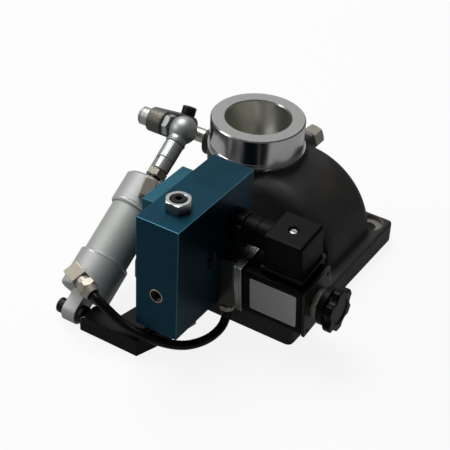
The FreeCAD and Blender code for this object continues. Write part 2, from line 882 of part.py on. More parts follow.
def make_return_spring():
    """The return spring at the front cap, at the length it has with the rod fully out."""
    start = piston_end + rod_stroke + 0.3
    height = tube_end - 0.2 - start
    radius = (tube_bore_radius + rod_radius) / 2
    return coil_spring(radius, spring_wire, height, spring_coils, rod_frame(start), rod_way())


def elbow_centre():
    """The middle of the rear elbow's body."""
    return rod_frame(rear_port, elbow_top - elbow_side / 2, rear_port_turn)


def stem_way(turn):
    """The unit vector out of the cylinder at a turn about its rod."""
    return rod_frame(0, 1, turn) - rod_frame(0)


def exit_way():
    """The unit vector of the hose where it leaves the rear elbow."""
    return FreeCAD.Rotation(stem_way(rear_port_turn), elbow_turn).multVec(across_way(rear_port_turn))


def across_way(turn):
    """The unit vector across both the rod and the stem at a turn about the rod, towards +X."""
    return rod_way().cross(stem_way(turn))


def fitting_block(centre, along, up, length, side):
    """A square block with bevelled edges, its length along one vector and its top towards another."""
    block = Part.makeBox(length, side, side, V(-length / 2, -side / 2, -side / 2))
    block = block.makeChamfer(0.5, block.Edges)
    block.Placement = FreeCAD.Placement(centre, FreeCAD.Rotation(along, up.cross(along), up, "XZY"))
    return block


def make_rear_elbow():
    """The angle fitting in the rear cap."""
    up = stem_way(rear_port_turn)
    body = fitting_block(elbow_centre(), exit_way(), up, elbow_side, elbow_side)
    body = body.cut(rod(cap_radius + fit_gap, rod_frame(0), rod_frame(pivot_to_ball)))
    stem = rod(port_radius, rod_frame(rear_port, 6, rear_port_turn), elbow_centre())
    neck = rod(elbow_neck_radius, elbow_centre(), elbow_centre() + exit_way() * (elbow_side / 2 + elbow_neck_length))
    body = body.fuse([stem, neck])
    body = body.cut(rod(1.8, rod_frame(rear_port, 5, rear_port_turn), elbow_centre() + up))
    return body.cut(rod(1.8, elbow_centre(), elbow_centre() + exit_way() * 30))


def make_rear_nut():
    """The hose nut of the rear elbow: a hexagon and a round sleeve."""
    start = elbow_centre() + exit_way() * (elbow_side / 2 + elbow_neck_length)
    hex_end = start + exit_way() * rear_nut_length
    nut = hexagon(rear_nut_flats, start, exit_way() * rear_nut_length, 15.0, 0.8)
    sleeve_profile = [
        (-0.5, 0),
        (-0.5, rear_sleeve_radius),
        (0, rear_sleeve_radius),
        (rear_sleeve_length, rear_sleeve_end_radius),
        (rear_sleeve_length, 0),
    ]
    nut = nut.fuse(turned(sleeve_profile, hex_end, exit_way()))
    return nut.cut(rod(hose_radius + rear_nut_gap, start - exit_way(), start + exit_way() * 20))


def make_front_vent():
    """The vent elbow on the front cap."""
    up = stem_way(front_port_turn)
    base = rod_frame(vent_place(), cap_radius + vent_rise, front_port_turn)
    along = FreeCAD.Rotation(up, vent_turn).multVec(rod_way())
    body = fitting_block(base - along * (vent_length / 2 - vent_side / 2), along, up, vent_length, vent_side)
    body = body.cut(rod(cap_radius + fit_gap, rod_frame(0), rod_frame(pivot_to_ball)))
    stem = rod(vent_thread_radius - thread_gap, rod_frame(vent_place(), tube_bore_radius, front_port_turn), base)
    return body.fuse(stem)


def make_bracket():
    """The bracket: a foot beside the cylinder's tongue, and an arm lapped into the flange."""
    foot_far_y = bracket_near_y + foot_depth
    outline = [
        V(bracket_left_x, bracket_near_y, 0),
        V(bracket_right_x, bracket_near_y, 0),
        V(arm_right_x, arm_bend_y, 0),
        V(arm_right_x, flange_near_y - fit_gap, 0),
        V(arm_left_x, flange_near_y - fit_gap, 0),
        V(foot_inner_x, foot_far_y, 0),
        V(bracket_left_x, foot_far_y, 0),
    ]
    bracket = prism(outline, V(0, 0, bracket_thickness))
    corner = edges_where(
        bracket,
        lambda spot: abs(spot.x - bracket_left_x) < 1e-6 and abs(spot.z - bracket_thickness) < 1e-6,
    )
    bracket = bracket.makeFillet(bracket_corner_radius, corner)
    lap = box(arm_left_x, flange_near_y - 1, 0, arm_right_x, lap_end_y, lap_height)
    bracket = bracket.fuse(lap)
    for place in (clamp_bolt_near_y, clamp_bolt_far_y):
        hole = rod(clamp_bolt_radius + fit_gap, V(clamp_bolt_x, place, -1), V(clamp_bolt_x, place, 20))
        sink = turned(countersink(fit_gap), V(clamp_bolt_x, place, 0), Z_AXIS)
        bracket = bracket.cut(hole.fuse(sink))
    thread_end = V(bracket_left_x + pivot_thread_depth + 0.5, pivot_y, pivot_z)
    bracket = bracket.cut(rod(clamp_bolt_radius + thread_gap, V(bracket_left_x - 1, pivot_y, pivot_z), thread_end))
    return bracket.cut(rod(clamp_bolt_radius + thread_gap, stop_place(-8), stop_place(20)))


def stop_place(rise):
    """A point on the axis of the bracket's stop screw, at a height over its top."""
    return V(bracket_right_x - 1.5, bracket_near_y + foot_depth, bracket_thickness + rise)


def make_stop_screw():
    """The socket-head screw on top of the bracket."""
    shank = rod(clamp_bolt_radius, stop_place(-7.5), stop_place(0))
    head = rod(clamp_head_radius - 1.0, stop_place(0), stop_place(3.2))
    return shank.fuse(head).cut(hexagon(4.0, stop_place(1.6), Z_AXIS * 3, 0.0, 0.0))


def countersink(extra=0.0):
    """The (distance, radius) pairs of a countersunk head with its face at zero."""
    radius = 2 * clamp_bolt_radius + extra
    return [(0, 0), (0, radius), (radius - clamp_bolt_radius, clamp_bolt_radius), (radius - clamp_bolt_radius, 0)]


def make_clamp_bolts():
    """The countersunk screws that clamp bracket, flange, spacer and block together."""
    bolts = []
    for place in (clamp_bolt_near_y, clamp_bolt_far_y):
        head = turned(countersink(), V(clamp_bolt_x, place, 0), Z_AXIS)
        shank = rod(clamp_bolt_radius, V(clamp_bolt_x, place, 0), V(clamp_bolt_x, place, block_z + clamp_bolt_reach))
        bolts.append(head.fuse(shank))
    return Part.makeCompound(bolts)


def make_pivot_screw():
    """The shoulder screw that the cylinder tilts on."""
    half = tongue_thickness / 2
    head_x = cylinder_x - half - face_gap
    centre = V(0, pivot_y, pivot_z)
    head = rod(pivot_head_radius, centre + X_AXIS * (head_x - pivot_head_length), centre + X_AXIS * head_x)
    shoulder = rod(pivot_radius, centre + X_AXIS * head_x, centre + X_AXIS * bracket_left_x)
    thread_end = bracket_left_x + pivot_thread_depth
    thread = rod(clamp_bolt_radius, centre + X_AXIS * head_x, centre + X_AXIS * thread_end)
    screw = head.fuse([shoulder, thread])
    socket = hexagon(5.0, centre + X_AXIS * (head_x - pivot_head_length - 1), X_AXIS * 4, 0.0, 0.0)
    return screw.cut(socket)


def make_pivot_washer():
    """The washer between the tongue and the bracket."""
    start = bracket_left_x - pivot_washer_thickness
    return ring(
        pivot_washer_radius - 1.0,
        pivot_radius + fit_gap,
        V(start, pivot_y, pivot_z),
        V(bracket_left_x, pivot_y, pivot_z),
    )


def make_block():
    """The control block with the adjuster's bore, the regulator's chamber and its ports."""
    block = box(block_x, block_y, block_z, block_right_x, block_far_y, block_top_z)
    block = block.makeChamfer(block_chamfer, block.Edges)
    centre = V(adjuster_x, adjuster_y, 0)
    block = block.cut(rod(chamber_radius + fit_gap, centre + Z_AXIS * (block_z - 1), centre + Z_AXIS * chamber_top_z))
    block = block.cut(rod(adjuster_radius + shaft_gap, centre + Z_AXIS * block_z, centre + Z_AXIS * (block_top_z + 1)))
    port = V(adjuster_x, block_y, port_front_z)
    block = block.cut(rod(port_front_radius + fit_gap, port - Y_AXIS, port + Y_AXIS * port_insert_length))
    block = block.cut(rod(port_insert_bore - 1.2, port, V(adjuster_x, adjuster_y, port_front_z)))
    plug = V(block_right_x, side_plug_y, side_plug_z)
    block = block.cut(rod(side_plug_radius + fit_gap, plug - X_AXIS * (side_plug_length + side_plug_sink), plug + X_AXIS))
    for place in plate_screw_places():
        hole_end = place + X_AXIS * (plate_screw_reach + 0.5)
        block = block.cut(rod(plate_screw_radius + thread_gap, place - X_AXIS * 2, hole_end))
    for place in (clamp_bolt_near_y, clamp_bolt_far_y):
        low = V(clamp_bolt_x, place, block_z - 1)
        block = block.cut(rod(clamp_bolt_radius + thread_gap, low, low + Z_AXIS * (clamp_bolt_reach + 2)))
    return block


def make_spacer():
    """The spacer between the flange and the control block."""
    spacer = box(
        block_x + 2,
        standoff_y,
        flange_thickness,
        block_right_x - 2,
        standoff_y + standoff_length,
        block_z,
    )
    for place in (clamp_bolt_near_y, clamp_bolt_far_y):
        spacer = spacer.cut(rod(clamp_bolt_radius + fit_gap, V(clamp_bolt_x, place, 0), V(clamp_bolt_x, place, 40)))
    return spacer


def plate_screw_places():
    """The screws' places on the block's back face."""
    places = []
    for place_y in (plate_y + 6, plate_y + plate_length - 6):
        for drop in (8, plate_height - 7):
            places.append(V(block_x, place_y, block_top_z + plate_top_rise - drop))
    return places


def make_rear_plate():
    """The cover plate on the block's back face."""
    top = block_top_z + plate_top_rise
    plate = box(block_x - plate_thickness, plate_y, top - plate_height, block_x, plate_y + plate_length, top)
    plate = plate.makeChamfer(block_chamfer, plate.Edges)
    for place in plate_screw_places():
        plate = plate.cut(rod(plate_screw_radius + fit_gap, place - X_AXIS * 10, place + X_AXIS))
        seat = rod(plate_head_radius + fit_gap, place - X_AXIS * 10, place - X_AXIS * (plate_thickness - 2.4))
        plate = plate.cut(seat)
    return plate


def make_plate_screws():
    """The four screws of the cover plate."""
    screws = []
    for place in plate_screw_places():
        head_start = place - X_AXIS * plate_thickness
        head_end = place - X_AXIS * (plate_thickness - 2.4)
        head = rod(plate_head_radius, head_start, head_end)
        screw = head.fuse(rod(plate_screw_radius, head_end, place + X_AXIS * plate_screw_reach))
        socket = hexagon(plate_screw_socket, head_start - X_AXIS, X_AXIS * 2.6, 0.0, 0.0)
        screws.append(screw.cut(socket))
    return Part.makeCompound(screws)


def make_adjuster():
    """The pressure-setting screw with its socket."""
    top = V(adjuster_x, adjuster_y, block_top_z + adjuster_top_rise)
    screw = rod(adjuster_radius, top - Z_AXIS * adjuster_length, top)
    return screw.cut(hexagon(adjuster_socket, top - Z_AXIS * 4, Z_AXIS * 5, 20.0, 0.0))


def make_adjuster_nut():
    """The adjuster's lock nut on the block."""
    seat = V(adjuster_x, adjuster_y, block_top_z)
    nut = hexagon(lock_nut_flats, seat, Z_AXIS * lock_nut_height, 18.0, 0.9)
    return nut.cut(rod(adjuster_radius + shaft_gap, seat - Z_AXIS, seat + Z_AXIS * 10))


def make_spring_seat():
    """The seat between the adjuster and the setting spring."""
    centre = V(adjuster_x, adjuster_y, 0)
    screw_tip = block_top_z + adjuster_top_rise - adjuster_length
    top = screw_tip - 0.1
    disc = rod(chamber_radius - 0.4, centre + Z_AXIS * (top - seat_thickness), centre + Z_AXIS * top)
    return disc


def make_setting_spring():
    """The setting spring in the regulator's chamber."""
    low = V(adjuster_x, adjuster_y, spring_bottom_z + 0.1)
    top = block_top_z + adjuster_top_rise - adjuster_length - 0.2 - seat_thickness
    return coil_spring(chamber_radius - 3.0, 1.8, top - low.z, 5, low, Z_AXIS)


def make_pilot_piston():
    """The regulator's piston under the setting spring."""
    centre = V(adjuster_x, adjuster_y, 0)
    start = centre + Z_AXIS * pilot_bottom_z
    body = rod(chamber_radius - shaft_gap, start, start + Z_AXIS * pilot_length)
    return body.cut(rod(chamber_radius - 3.5, start - Z_AXIS, start + Z_AXIS * 5))


def make_chamber_plug():
    """The hexagon plug that closes the chamber from below."""
    centre = V(adjuster_x, adjuster_y, 0)
    head = hexagon(plug_flats, centre + Z_AXIS * (block_z - plug_head), Z_AXIS * plug_head, 10.0, 0.8)
    thread = ring(chamber_radius, chamber_radius - 3, centre + Z_AXIS * (block_z - 1), centre + Z_AXIS * plug_top_z)
    return head.fuse(thread)


def make_port_insert():
    """The threaded insert in the block's front port."""
    port = V(adjuster_x, block_y, port_front_z)
    insert = ring(port_front_radius, port_insert_bore, port - Y_AXIS * 0.2, port + Y_AXIS * (port_insert_length - 0.1))
    return insert


def make_side_plug():
    """The sunk plug in the block's side."""
    start = V(block_right_x - side_plug_sink, side_plug_y, side_plug_z)
    plug = rod(side_plug_radius, start - X_AXIS * side_plug_length, start)
    return plug.cut(hexagon(4.0, start - X_AXIS * 2.5, X_AXIS * 4, 0.0, 0.0))


def valve_far_y():
    """The far face of the solenoid valve's body."""
    return valve_near_y + valve_depth


def make_valve_body():
    """The solenoid valve's body, bored for the armature tube and the hose fitting."""
    body = box(valve_x, valve_near_y, valve_bottom_z, yoke_x, valve_far_y(), valve_top_z)
    body = body.makeChamfer(0.4, body.Edges)
    body = body.cut(rod(armature_radius - armature_wall, V(yoke_x - 5, coil_axis_y, coil_axis_z), V(yoke_x + 1, coil_axis_y, coil_axis_z)))
    low = V(hose_fitting_x, hose_fitting_y, valve_bottom_z)
    return body.cut(rod(2.5 + thread_gap, low - Z_AXIS, low + Z_AXIS * 6))


def coil_turned(shape):
    """A shape of the coil group, turned about the armature's axis with the coil."""
    shape.rotate(V(0, coil_axis_y, coil_axis_z), X_AXIS, coil_turn)
    return shape


def make_yoke_sheets():
    """The sheets of the coil's yoke beside the valve body."""
    sheets = []
    hole = rod(armature_radius + fit_gap, V(yoke_x - 5, coil_axis_y, coil_axis_z), V(coil_x + 5, coil_axis_y, coil_axis_z))
    for index in range(yoke_count):
        start = yoke_x + index * (yoke_sheet + yoke_gap)
        sheet = box(
            start,
            coil_near_y - yoke_overhang,
            coil_bottom_z - yoke_overhang,
            start + yoke_sheet,
            coil_near_y + coil_width,
            valve_top_z + 0.5,
        )
        sheets.append(coil_turned(sheet.cut(hole)))
    return Part.makeCompound(sheets)


def make_armature_tube():
    """The tube that the plunger slides in, threaded at its free end for the nut and the knob."""
    start = V(yoke_x, coil_axis_y, coil_axis_z)
    end = V(coil_end_x + armature_reach, coil_axis_y, coil_axis_z)
    tube = rod(armature_radius, start, end)
    depth = plunger_offset + plunger_length + plunger_stroke + 0.4
    return tube.cut(rod(armature_radius - armature_wall, start - X_AXIS, start + X_AXIS * depth))


def make_plunger():
    """The plunger in the armature tube."""
    start = V(yoke_x + plunger_offset - 5.0, coil_axis_y, coil_axis_z)
    return rod(armature_radius - armature_wall - shaft_gap, start, start + X_AXIS * (plunger_length + 5.0))


def make_coil():
    """The moulded coil with its hub face and connector base."""
    coil = box(coil_x, coil_near_y, coil_bottom_z, coil_end_x, coil_near_y + coil_width, coil_top_z)
    base = box(
        connector_x,
        connector_near_y,
        coil_top_z - 2,
        connector_x + connector_length + 0.8,
        connector_near_y + connector_depth,
        coil_top_z + base_height,
    )
    coil = coil.makeFillet(coil_edge_radius, coil.Edges).fuse(base)
    hole = rod(armature_radius + fit_gap, V(coil_x - 1, coil_axis_y, coil_axis_z), V(coil_end_x + 1, coil_axis_y, coil_axis_z))
    coil = coil.cut(hole)
    pocket = box(
        label_x,
        coil_near_y - 1,
        label_bottom(),
        label_x + label_length,
        coil_near_y + label_thickness,
        label_bottom() + label_height,
    )
    return coil_turned(coil.cut(pocket))


def label_bottom():
    """The height of the label plate's lower edge."""
    return coil_top_z - label_drop - label_height


def make_label_plate():
    """The bare plate on the coil's near face."""
    plate = box(
        label_x + fit_gap,
        coil_near_y,
        label_bottom() + fit_gap,
        label_x + label_length - fit_gap,
        coil_near_y + label_thickness,
        label_bottom() + label_height - fit_gap,
    )
    corners = [edge for edge in plate.Edges if abs(edge.Vertexes[0].Y - edge.Vertexes[-1].Y) > label_thickness / 2]
    return coil_turned(plate.makeFillet(1.4, corners))


def make_end_plate():
    """The yoke's end plate on the coil's outer face."""
    plate = box(
        coil_end_x,
        coil_near_y,
        coil_bottom_z - yoke_overhang,
        coil_end_x + end_plate_thickness,
        coil_near_y + coil_width,
        coil_top_z,
    )
    hole = rod(armature_radius + fit_gap, V(coil_end_x - 1, coil_axis_y, coil_axis_z), V(coil_end_x + 9, coil_axis_y, coil_axis_z))
    plate = plate.cut(hole)
    for spot_y, spot_z in ((coil_near_y + 3.2, coil_bottom_z + 2.5), (coil_near_y + coil_width - 3.2, coil_top_z - 3.5)):
        plate = plate.cut(rod(end_plate_hole, V(coil_end_x - 1, spot_y, spot_z), V(coil_end_x + 9, spot_y, spot_z)))
    return coil_turned(plate)


def nut_start_x():
    """Where the coil's nut starts."""
    return coil_end_x + end_plate_thickness


def make_coil_nut():
    """The brass nut that holds the coil."""
    start = V(nut_start_x(), coil_axis_y, coil_axis_z)
    nut = hexagon(coil_nut_flats, start, X_AXIS * coil_nut_length, 8.0, 0.8)
    return nut.cut(rod(armature_radius + thread_gap, start - X_AXIS, start + X_AXIS * 9))


def make_knob():
    """The lobed hand knob on the armature tube's end."""
    start = V(nut_start_x() + coil_nut_length + face_gap, coil_axis_y, coil_axis_z)
    skirt = rod(knob_flange_radius, start, start + X_AXIS * knob_flange_length)
    rim_start = start + X_AXIS * (knob_flange_length + knob_neck_length)
    rim = rod(knob_radius, rim_start, rim_start + X_AXIS * knob_length)
    rim = rim.makeChamfer(0.8, rim.Edges)
    for step in range(knob_lobes):
        angle = math.radians(knob_lobe_turn) + 2 * math.pi * (step + 0.5) / knob_lobes
        reach = knob_valley_radius + knob_scallop_radius
        spot = rim_start + V(-1, reach * math.cos(angle), reach * math.sin(angle))
        rim = rim.cut(rod(knob_scallop_radius, spot, spot + X_AXIS * (knob_length + 2)))
    neck = rod(knob_neck_radius, start, rim_start + X_AXIS)
    knob = skirt.fuse([neck, rim])
    socket_end = V(coil_end_x + armature_reach + face_gap, coil_axis_y, coil_axis_z)
    return knob.cut(rod(armature_radius + 0.1, start - X_AXIS, socket_end))


def make_seal_plate():
    """The flat seal under the plug connector."""
    plate = box(
        connector_x - 0.8,
        connector_near_y - 0.8,
        coil_top_z + base_height,
        connector_x + connector_length + 1.6,
        connector_near_y + connector_depth + 0.8,
        connector_bottom_z,
    )
    return coil_turned(plate)


def make_connector():
    """The plug connector's housing with the barrel of its cable gland."""
    housing = box(
        connector_x,
        connector_near_y,
        connector_bottom_z,
        connector_x + connector_length,
        connector_near_y + connector_depth,
        connector_top_z,
    )
    upper = edges_where(housing, lambda spot: spot.z > connector_top_z - 1e-6)
    housing = housing.makeFillet(connector_edge_radius, upper + upright_edges(housing))
    barrel = rod(gland_radius, gland_place(-gland_barrel_length), gland_place(4))
    housing = housing.fuse(barrel)
    housing = housing.cut(rod(gland_bore_radius, gland_place(-gland_barrel_length - 1), gland_place(6)))
    top = V(connector_x + connector_length / 2, gland_y, connector_top_z)
    sink = connector_screw_sink + 2.4
    return coil_turned(housing.cut(rod(connector_screw_radius + 0.3, top - Z_AXIS * sink, top + Z_AXIS)))


def gland_place(offset):
    """A point on the gland's axis, at an offset from the housing's side."""
    return V(connector_x + offset, gland_y, gland_z)


def make_connector_screw():
    """The screw in the top of the plug connector."""
    top = V(connector_x + connector_length / 2, gland_y, connector_top_z - connector_screw_sink)
    screw = rod(connector_screw_radius, top - Z_AXIS * 2.4, top)
    slot = box(top.x - 4, top.y - 0.45, top.z - 0.9, top.x + 4, top.y + 0.45, top.z + 1)
    return coil_turned(screw.cut(slot))


def make_gland_nut():
    """The lobed nut of the cable gland."""
    start = gland_place(-gland_barrel_length - gland_nut_length)
    nut = rod(gland_nut_radius, start, start + X_AXIS * gland_nut_length)
    nut = nut.makeChamfer(1.0, edges_where(nut, lambda spot: abs(spot.x - start.x) < 1e-6))
    for step in range(gland_nut_lobes):
        angle = 2 * math.pi * step / gland_nut_lobes
        spot = start + V(-1, (gland_nut_radius + 1.0) * math.cos(angle), (gland_nut_radius + 1.0) * math.sin(angle))
        nut = nut.cut(rod(2.2, spot, spot + X_AXIS * (gland_nut_length + 2)))
    return coil_turned(nut.cut(rod(gland_bore_radius, start - X_AXIS, start + X_AXIS * 20)))


def make_gland_seal():
    """The rubber seal in the cable gland."""
    start = gland_place(-gland_barrel_length - gland_nut_length + 1.5)
    return coil_turned(rod(gland_bore_radius - fit_gap, start, start + X_AXIS * 9))


def make_hose_fitting():
    """The straight fitting under the valve body."""
    top = V(hose_fitting_x, hose_fitting_y, valve_bottom_z)
    low = top - Z_AXIS * hose_fitting_length
    stem = rod(2.5, top, top + Z_AXIS * 5)
    body = hexagon(hose_nut_flats, low, Z_AXIS * hose_fitting_length, 0.0, 0.5)
    return body.fuse(stem).cut(rod(1.2, low - Z_AXIS, low + Z_AXIS * 20))


def hose_points():
    """The hose's route, from the rear elbow's nut to the fitting under the valve."""
    nut_start = elbow_side / 2 + elbow_neck_length
    nut_end = nut_start + rear_nut_length + rear_sleeve_length
    start = elbow_centre() + exit_way() * (nut_start + 0.3)
    clear = elbow_centre() + exit_way() * (nut_end + hose_lead)
    end = V(hose_fitting_x, hose_fitting_y, valve_bottom_z - hose_fitting_length - face_gap / 3)
    return [start, clear] + hose_middle + [end]


def make_hose():
    """The air hose, a tube along straight runs and tangent arcs."""
    points = hose_points()
    path, radii = rounded_route(points)
    print("hose arcs, radius in mm:", [round(radius, 1) for radius in radii])
    way = points[1].sub(points[0])
    section = Part.Wire(Part.makeCircle(hose_radius, points[0], way))
    hose = path.makePipeShell([section], True, False)
    print("hose length in mm:", round(path.Length, 1), "volume over section times length:",
          round(hose.Volume / (math.pi * hose_radius ** 2 * path.Length), 4))
    return hose


MAKERS = {
    "valve_casting": make_casting,
    "inlet_collar": make_collar,
    "shaft_bushes": make_bushes,
    "shaft_seal": make_shaft_seal,
    "outlet_gasket": make_outlet_gasket,
    "tapping_fitting": make_tapping_fitting,
    "throttle_shaft": make_shaft,
    "throttle_disc": make_disc,
    "disc_screws": make_disc_screws,
    "throttle_lever": make_lever,
    "lever_screw": make_clamp_screw,
    "ball_stud": make_ball_stud,
    "stud_lock_nut": make_lock_nut,
    "ball_socket": make_ball_socket,
    "safety_clip": make_safety_clip,
    "rod_jam_nut": make_jam_nut,
    "piston_rod": make_rod,
    "piston": make_piston,
    "piston_seal": make_piston_seal,
    "cylinder_tube": make_tube,
    "rear_cap": make_rear_cap,
    "front_cap": make_front_cap,
    "rod_seal": make_rod_seal,
    "return_spring": make_return_spring,
    "rear_elbow": make_rear_elbow,
    "rear_elbow_nut": make_rear_nut,
    "front_vent": make_front_vent,
    "cylinder_bracket": make_bracket,
    "stop_screw": make_stop_screw,
    "clamp_bolts": make_clamp_bolts,
    "pivot_screw": make_pivot_screw,
    "pivot_washer": make_pivot_washer,
    "control_block": make_block,
    "block_spacer": make_spacer,
    "rear_plate": make_rear_plate,
    "plate_screws": make_plate_screws,
    "adjuster_screw": make_adjuster,
    "adjuster_nut": make_adjuster_nut,
    "spring_seat": make_spring_seat,
    "setting_spring": make_setting_spring,
    "pilot_piston": make_pilot_piston,
    "chamber_plug": make_chamber_plug,
    "port_insert": make_port_insert,
    "side_plug": make_side_plug,
    "valve_body": make_valve_body,
    "yoke_sheets": make_yoke_sheets,
    "armature_tube": make_armature_tube,
    "plunger": make_plunger,
    "coil": make_coil,
    "label_plate": make_label_plate,
    "coil_end_plate": make_end_plate,
    "coil_nut": make_coil_nut,
    "hand_knob": make_knob,
    "connector_seal": make_seal_plate,
    "plug_connector": make_connector,
    "connector_screw": make_connector_screw,
    "gland_nut": make_gland_nut,
    "gland_seal": make_gland_seal,
    "hose_fitting": make_hose_fitting,
    "air_hose": make_hose,
}

os.makedirs("parts", exist_ok=True)
for node, maker in MAKERS.items():
    maker().exportStep("parts/" + node + ".step")
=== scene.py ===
"""Looks of a compressor intake valve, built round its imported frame.

Lengths in the classes are millimetres in the part's own frame. A piece is scaled to metres when it is placed.
"""
import logging
import math
from dataclasses import dataclass, field
from enum import Enum
from typing import Callable, Sequence, Union

import bmesh
import bpy
from mathutils import Matrix, Vector


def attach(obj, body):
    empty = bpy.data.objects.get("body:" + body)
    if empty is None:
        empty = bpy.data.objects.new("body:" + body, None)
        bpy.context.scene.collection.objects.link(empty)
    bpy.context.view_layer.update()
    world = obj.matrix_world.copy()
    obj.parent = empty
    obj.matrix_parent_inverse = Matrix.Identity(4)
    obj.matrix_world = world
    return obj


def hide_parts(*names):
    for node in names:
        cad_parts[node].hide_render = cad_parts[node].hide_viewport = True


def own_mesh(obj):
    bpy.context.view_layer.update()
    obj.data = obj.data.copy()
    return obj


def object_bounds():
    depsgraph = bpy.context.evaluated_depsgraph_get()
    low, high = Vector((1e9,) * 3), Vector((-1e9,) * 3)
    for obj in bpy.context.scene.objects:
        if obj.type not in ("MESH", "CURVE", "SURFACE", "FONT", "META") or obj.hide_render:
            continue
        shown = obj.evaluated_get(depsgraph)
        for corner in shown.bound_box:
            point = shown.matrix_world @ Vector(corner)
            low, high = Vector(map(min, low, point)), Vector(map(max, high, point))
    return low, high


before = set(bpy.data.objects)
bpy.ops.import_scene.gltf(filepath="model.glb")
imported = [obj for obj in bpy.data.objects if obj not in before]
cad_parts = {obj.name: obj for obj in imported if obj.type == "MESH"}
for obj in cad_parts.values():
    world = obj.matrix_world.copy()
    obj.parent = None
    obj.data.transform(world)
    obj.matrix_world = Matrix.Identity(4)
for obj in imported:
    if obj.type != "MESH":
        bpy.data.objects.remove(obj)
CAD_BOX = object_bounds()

LOG = logging.getLogger("intake_valve")
MM = 0.001
X = Vector((1.0, 0.0, 0.0))
Y = Vector((0.0, 1.0, 0.0))
Z = Vector((0.0, 0.0, 1.0))
Colour = tuple[float, float, float]
Number = Union[float, "Wire"]


# Shader trees


class Wire:
    """An output socket of a shader tree. Python's operators on it add Math nodes."""

    def __init__(self, tree: "Tree", socket: bpy.types.NodeSocket) -> None:
        """Keeps the tree and the socket."""
        self.tree = tree
        self.socket = socket

    def _maths(self, operation: str, first: Number, second: Number) -> "Wire":
        """Adds a Math node for two values and returns its result."""
        return self.tree.node("ShaderNodeMath", {"operation": operation}, {0: first, 1: second})

    def __add__(self, other: Number) -> "Wire":
        """Sum."""
        return self._maths("ADD", self, other)

    def __radd__(self, other: Number) -> "Wire":
        """Sum with a number on the left."""
        return self._maths("ADD", other, self)

    def __sub__(self, other: Number) -> "Wire":
        """Difference."""
        return self._maths("SUBTRACT", self, other)

    def __rsub__(self, other: Number) -> "Wire":
        """Difference with a number on the left."""
        return self._maths("SUBTRACT", other, self)

    def __mul__(self, other: Number) -> "Wire":
        """Product."""
        return self._maths("MULTIPLY", self, other)

    def __rmul__(self, other: Number) -> "Wire":
        """Product with a number on the left."""
        return self._maths("MULTIPLY", other, self)


class Tree:
    """A material's node tree and the one way to add a node to it."""

    def __init__(self, name: str) -> None:
        """Makes an empty material of that name.

        Args:
            name: the material's name.
        """
        self.material = bpy.data.materials.new(name)
        self.material.use_nodes = True
        self.graph = self.material.node_tree
        self.graph.nodes.clear()

    def node(
        self, kind: str, settings: dict | None = None, inputs: dict | None = None, output: int | str = 0
    ) -> Wire:
        """Adds one node.

        Args:
            kind: the node's type.
            settings: its properties, set first.
            inputs: a value or a wire for each of its sockets, by name or index.
            output: the socket that is returned.

        Returns:
            That output as a wire.
        """
        made = self.graph.nodes.new(kind)
        for key, value in (settings or {}).items():
            setattr(made, key, value)
        for key, value in (inputs or {}).items():
            if isinstance(value, Wire):
                self.graph.links.new(value.socket, made.inputs[key])
            else:
                made.inputs[key].default_value = value
        return Wire(self, made.outputs[output])

    def spot(self) -> Wire:
        """The point on the piece, in metres of the part's frame."""
        return self.node("ShaderNodeTexCoord", output="Object")

    def facing(self) -> Wire:
        """The piece's own normal."""
        return self.node("ShaderNodeTexCoord", output="Normal")

    def vector(
        self, operation: str, first: object, second: object = (0.0, 0.0, 0.0), output: str = "Vector"
    ) -> Wire:
        """Adds a Vector Math node for two vectors."""
        return self.node("ShaderNodeVectorMath", {"operation": operation}, {0: first, 1: second}, output)

    def noise(self, place: Wire, scale: float, detail: float = 3.0, rough: float = 0.55) -> Wire:
        """Noise from 0 to 1 at a place."""
        sockets = {"Vector": place, "Scale": scale, "Detail": detail, "Roughness": rough}
        return self.node("ShaderNodeTexNoise", None, sockets, "Fac")

    def lines(self, distance: Wire, scale: float, detail: float = 3.0) -> Wire:
        """Noise from 0 to 1 that changes along one distance only."""
        sockets = {"W": distance, "Scale": scale, "Detail": detail, "Roughness": 0.6}
        return self.node("ShaderNodeTexNoise", {"noise_dimensions": "1D"}, sockets, "Fac")

    def ramp(self, value: Wire, low: float, high: float) -> Wire:
        """A value from low to high spread over 0 to 1, and held there."""
        return self.node("ShaderNodeMapRange", None, {"Value": value, "From Min": low, "From Max": high})

    def mix(self, share: Number, first: object, second: object) -> Wire:
        """Two colours mixed by a share from 0 to 1."""
        return self.node("ShaderNodeMix", {"data_type": "RGBA"}, {0: share, 6: first, 7: second}, 2)

    def bump(self, height: Wire, depth: float) -> Wire:
        """A normal from a height of 0 to 1 that stands for a depth in millimetres."""
        return self.node("ShaderNodeBump", None, {"Strength": 1.0, "Distance": depth * MM, "Height": height})

    def surface(self, sockets: dict) -> None:
        """Ends the tree in a Principled shader with these sockets."""
        self.end(self.node("ShaderNodeBsdfPrincipled", None, sockets))

    def end(self, shader: Wire) -> None:
        """Joins a shader to the material's output."""
        end = self.graph.nodes.new("ShaderNodeOutputMaterial")
        self.graph.links.new(shader.socket, end.inputs["Surface"])


def rgba(colour: Colour) -> tuple[float, float, float, float]:
    """A colour with its alpha."""
    return (*colour, 1.0)


class Grain(Enum):
    """How a metal's surface was worked."""

    TURNED = "turned"
    BRUSHED = "brushed"
    PLATED = "plated"
    CAST = "cast"


@dataclass(frozen=True)
class Finish:
    """What every finish has: a name, two colours that it varies between, and a roughness."""

    name: str
    colour: Colour
    shade: Colour
    roughness: float

    def material(self) -> bpy.types.Material:
        """Finds the finish's material, or draws it the first time.

        Returns:
            The material.
        """
        known = bpy.data.materials.get(self.name)
        if known is None:
            tree = Tree(self.name)
            self.draw(tree)
            known = tree.material
        return known

    def draw(self, tree: Tree) -> None:
        """Draws the finish's nodes."""
        raise NotImplementedError


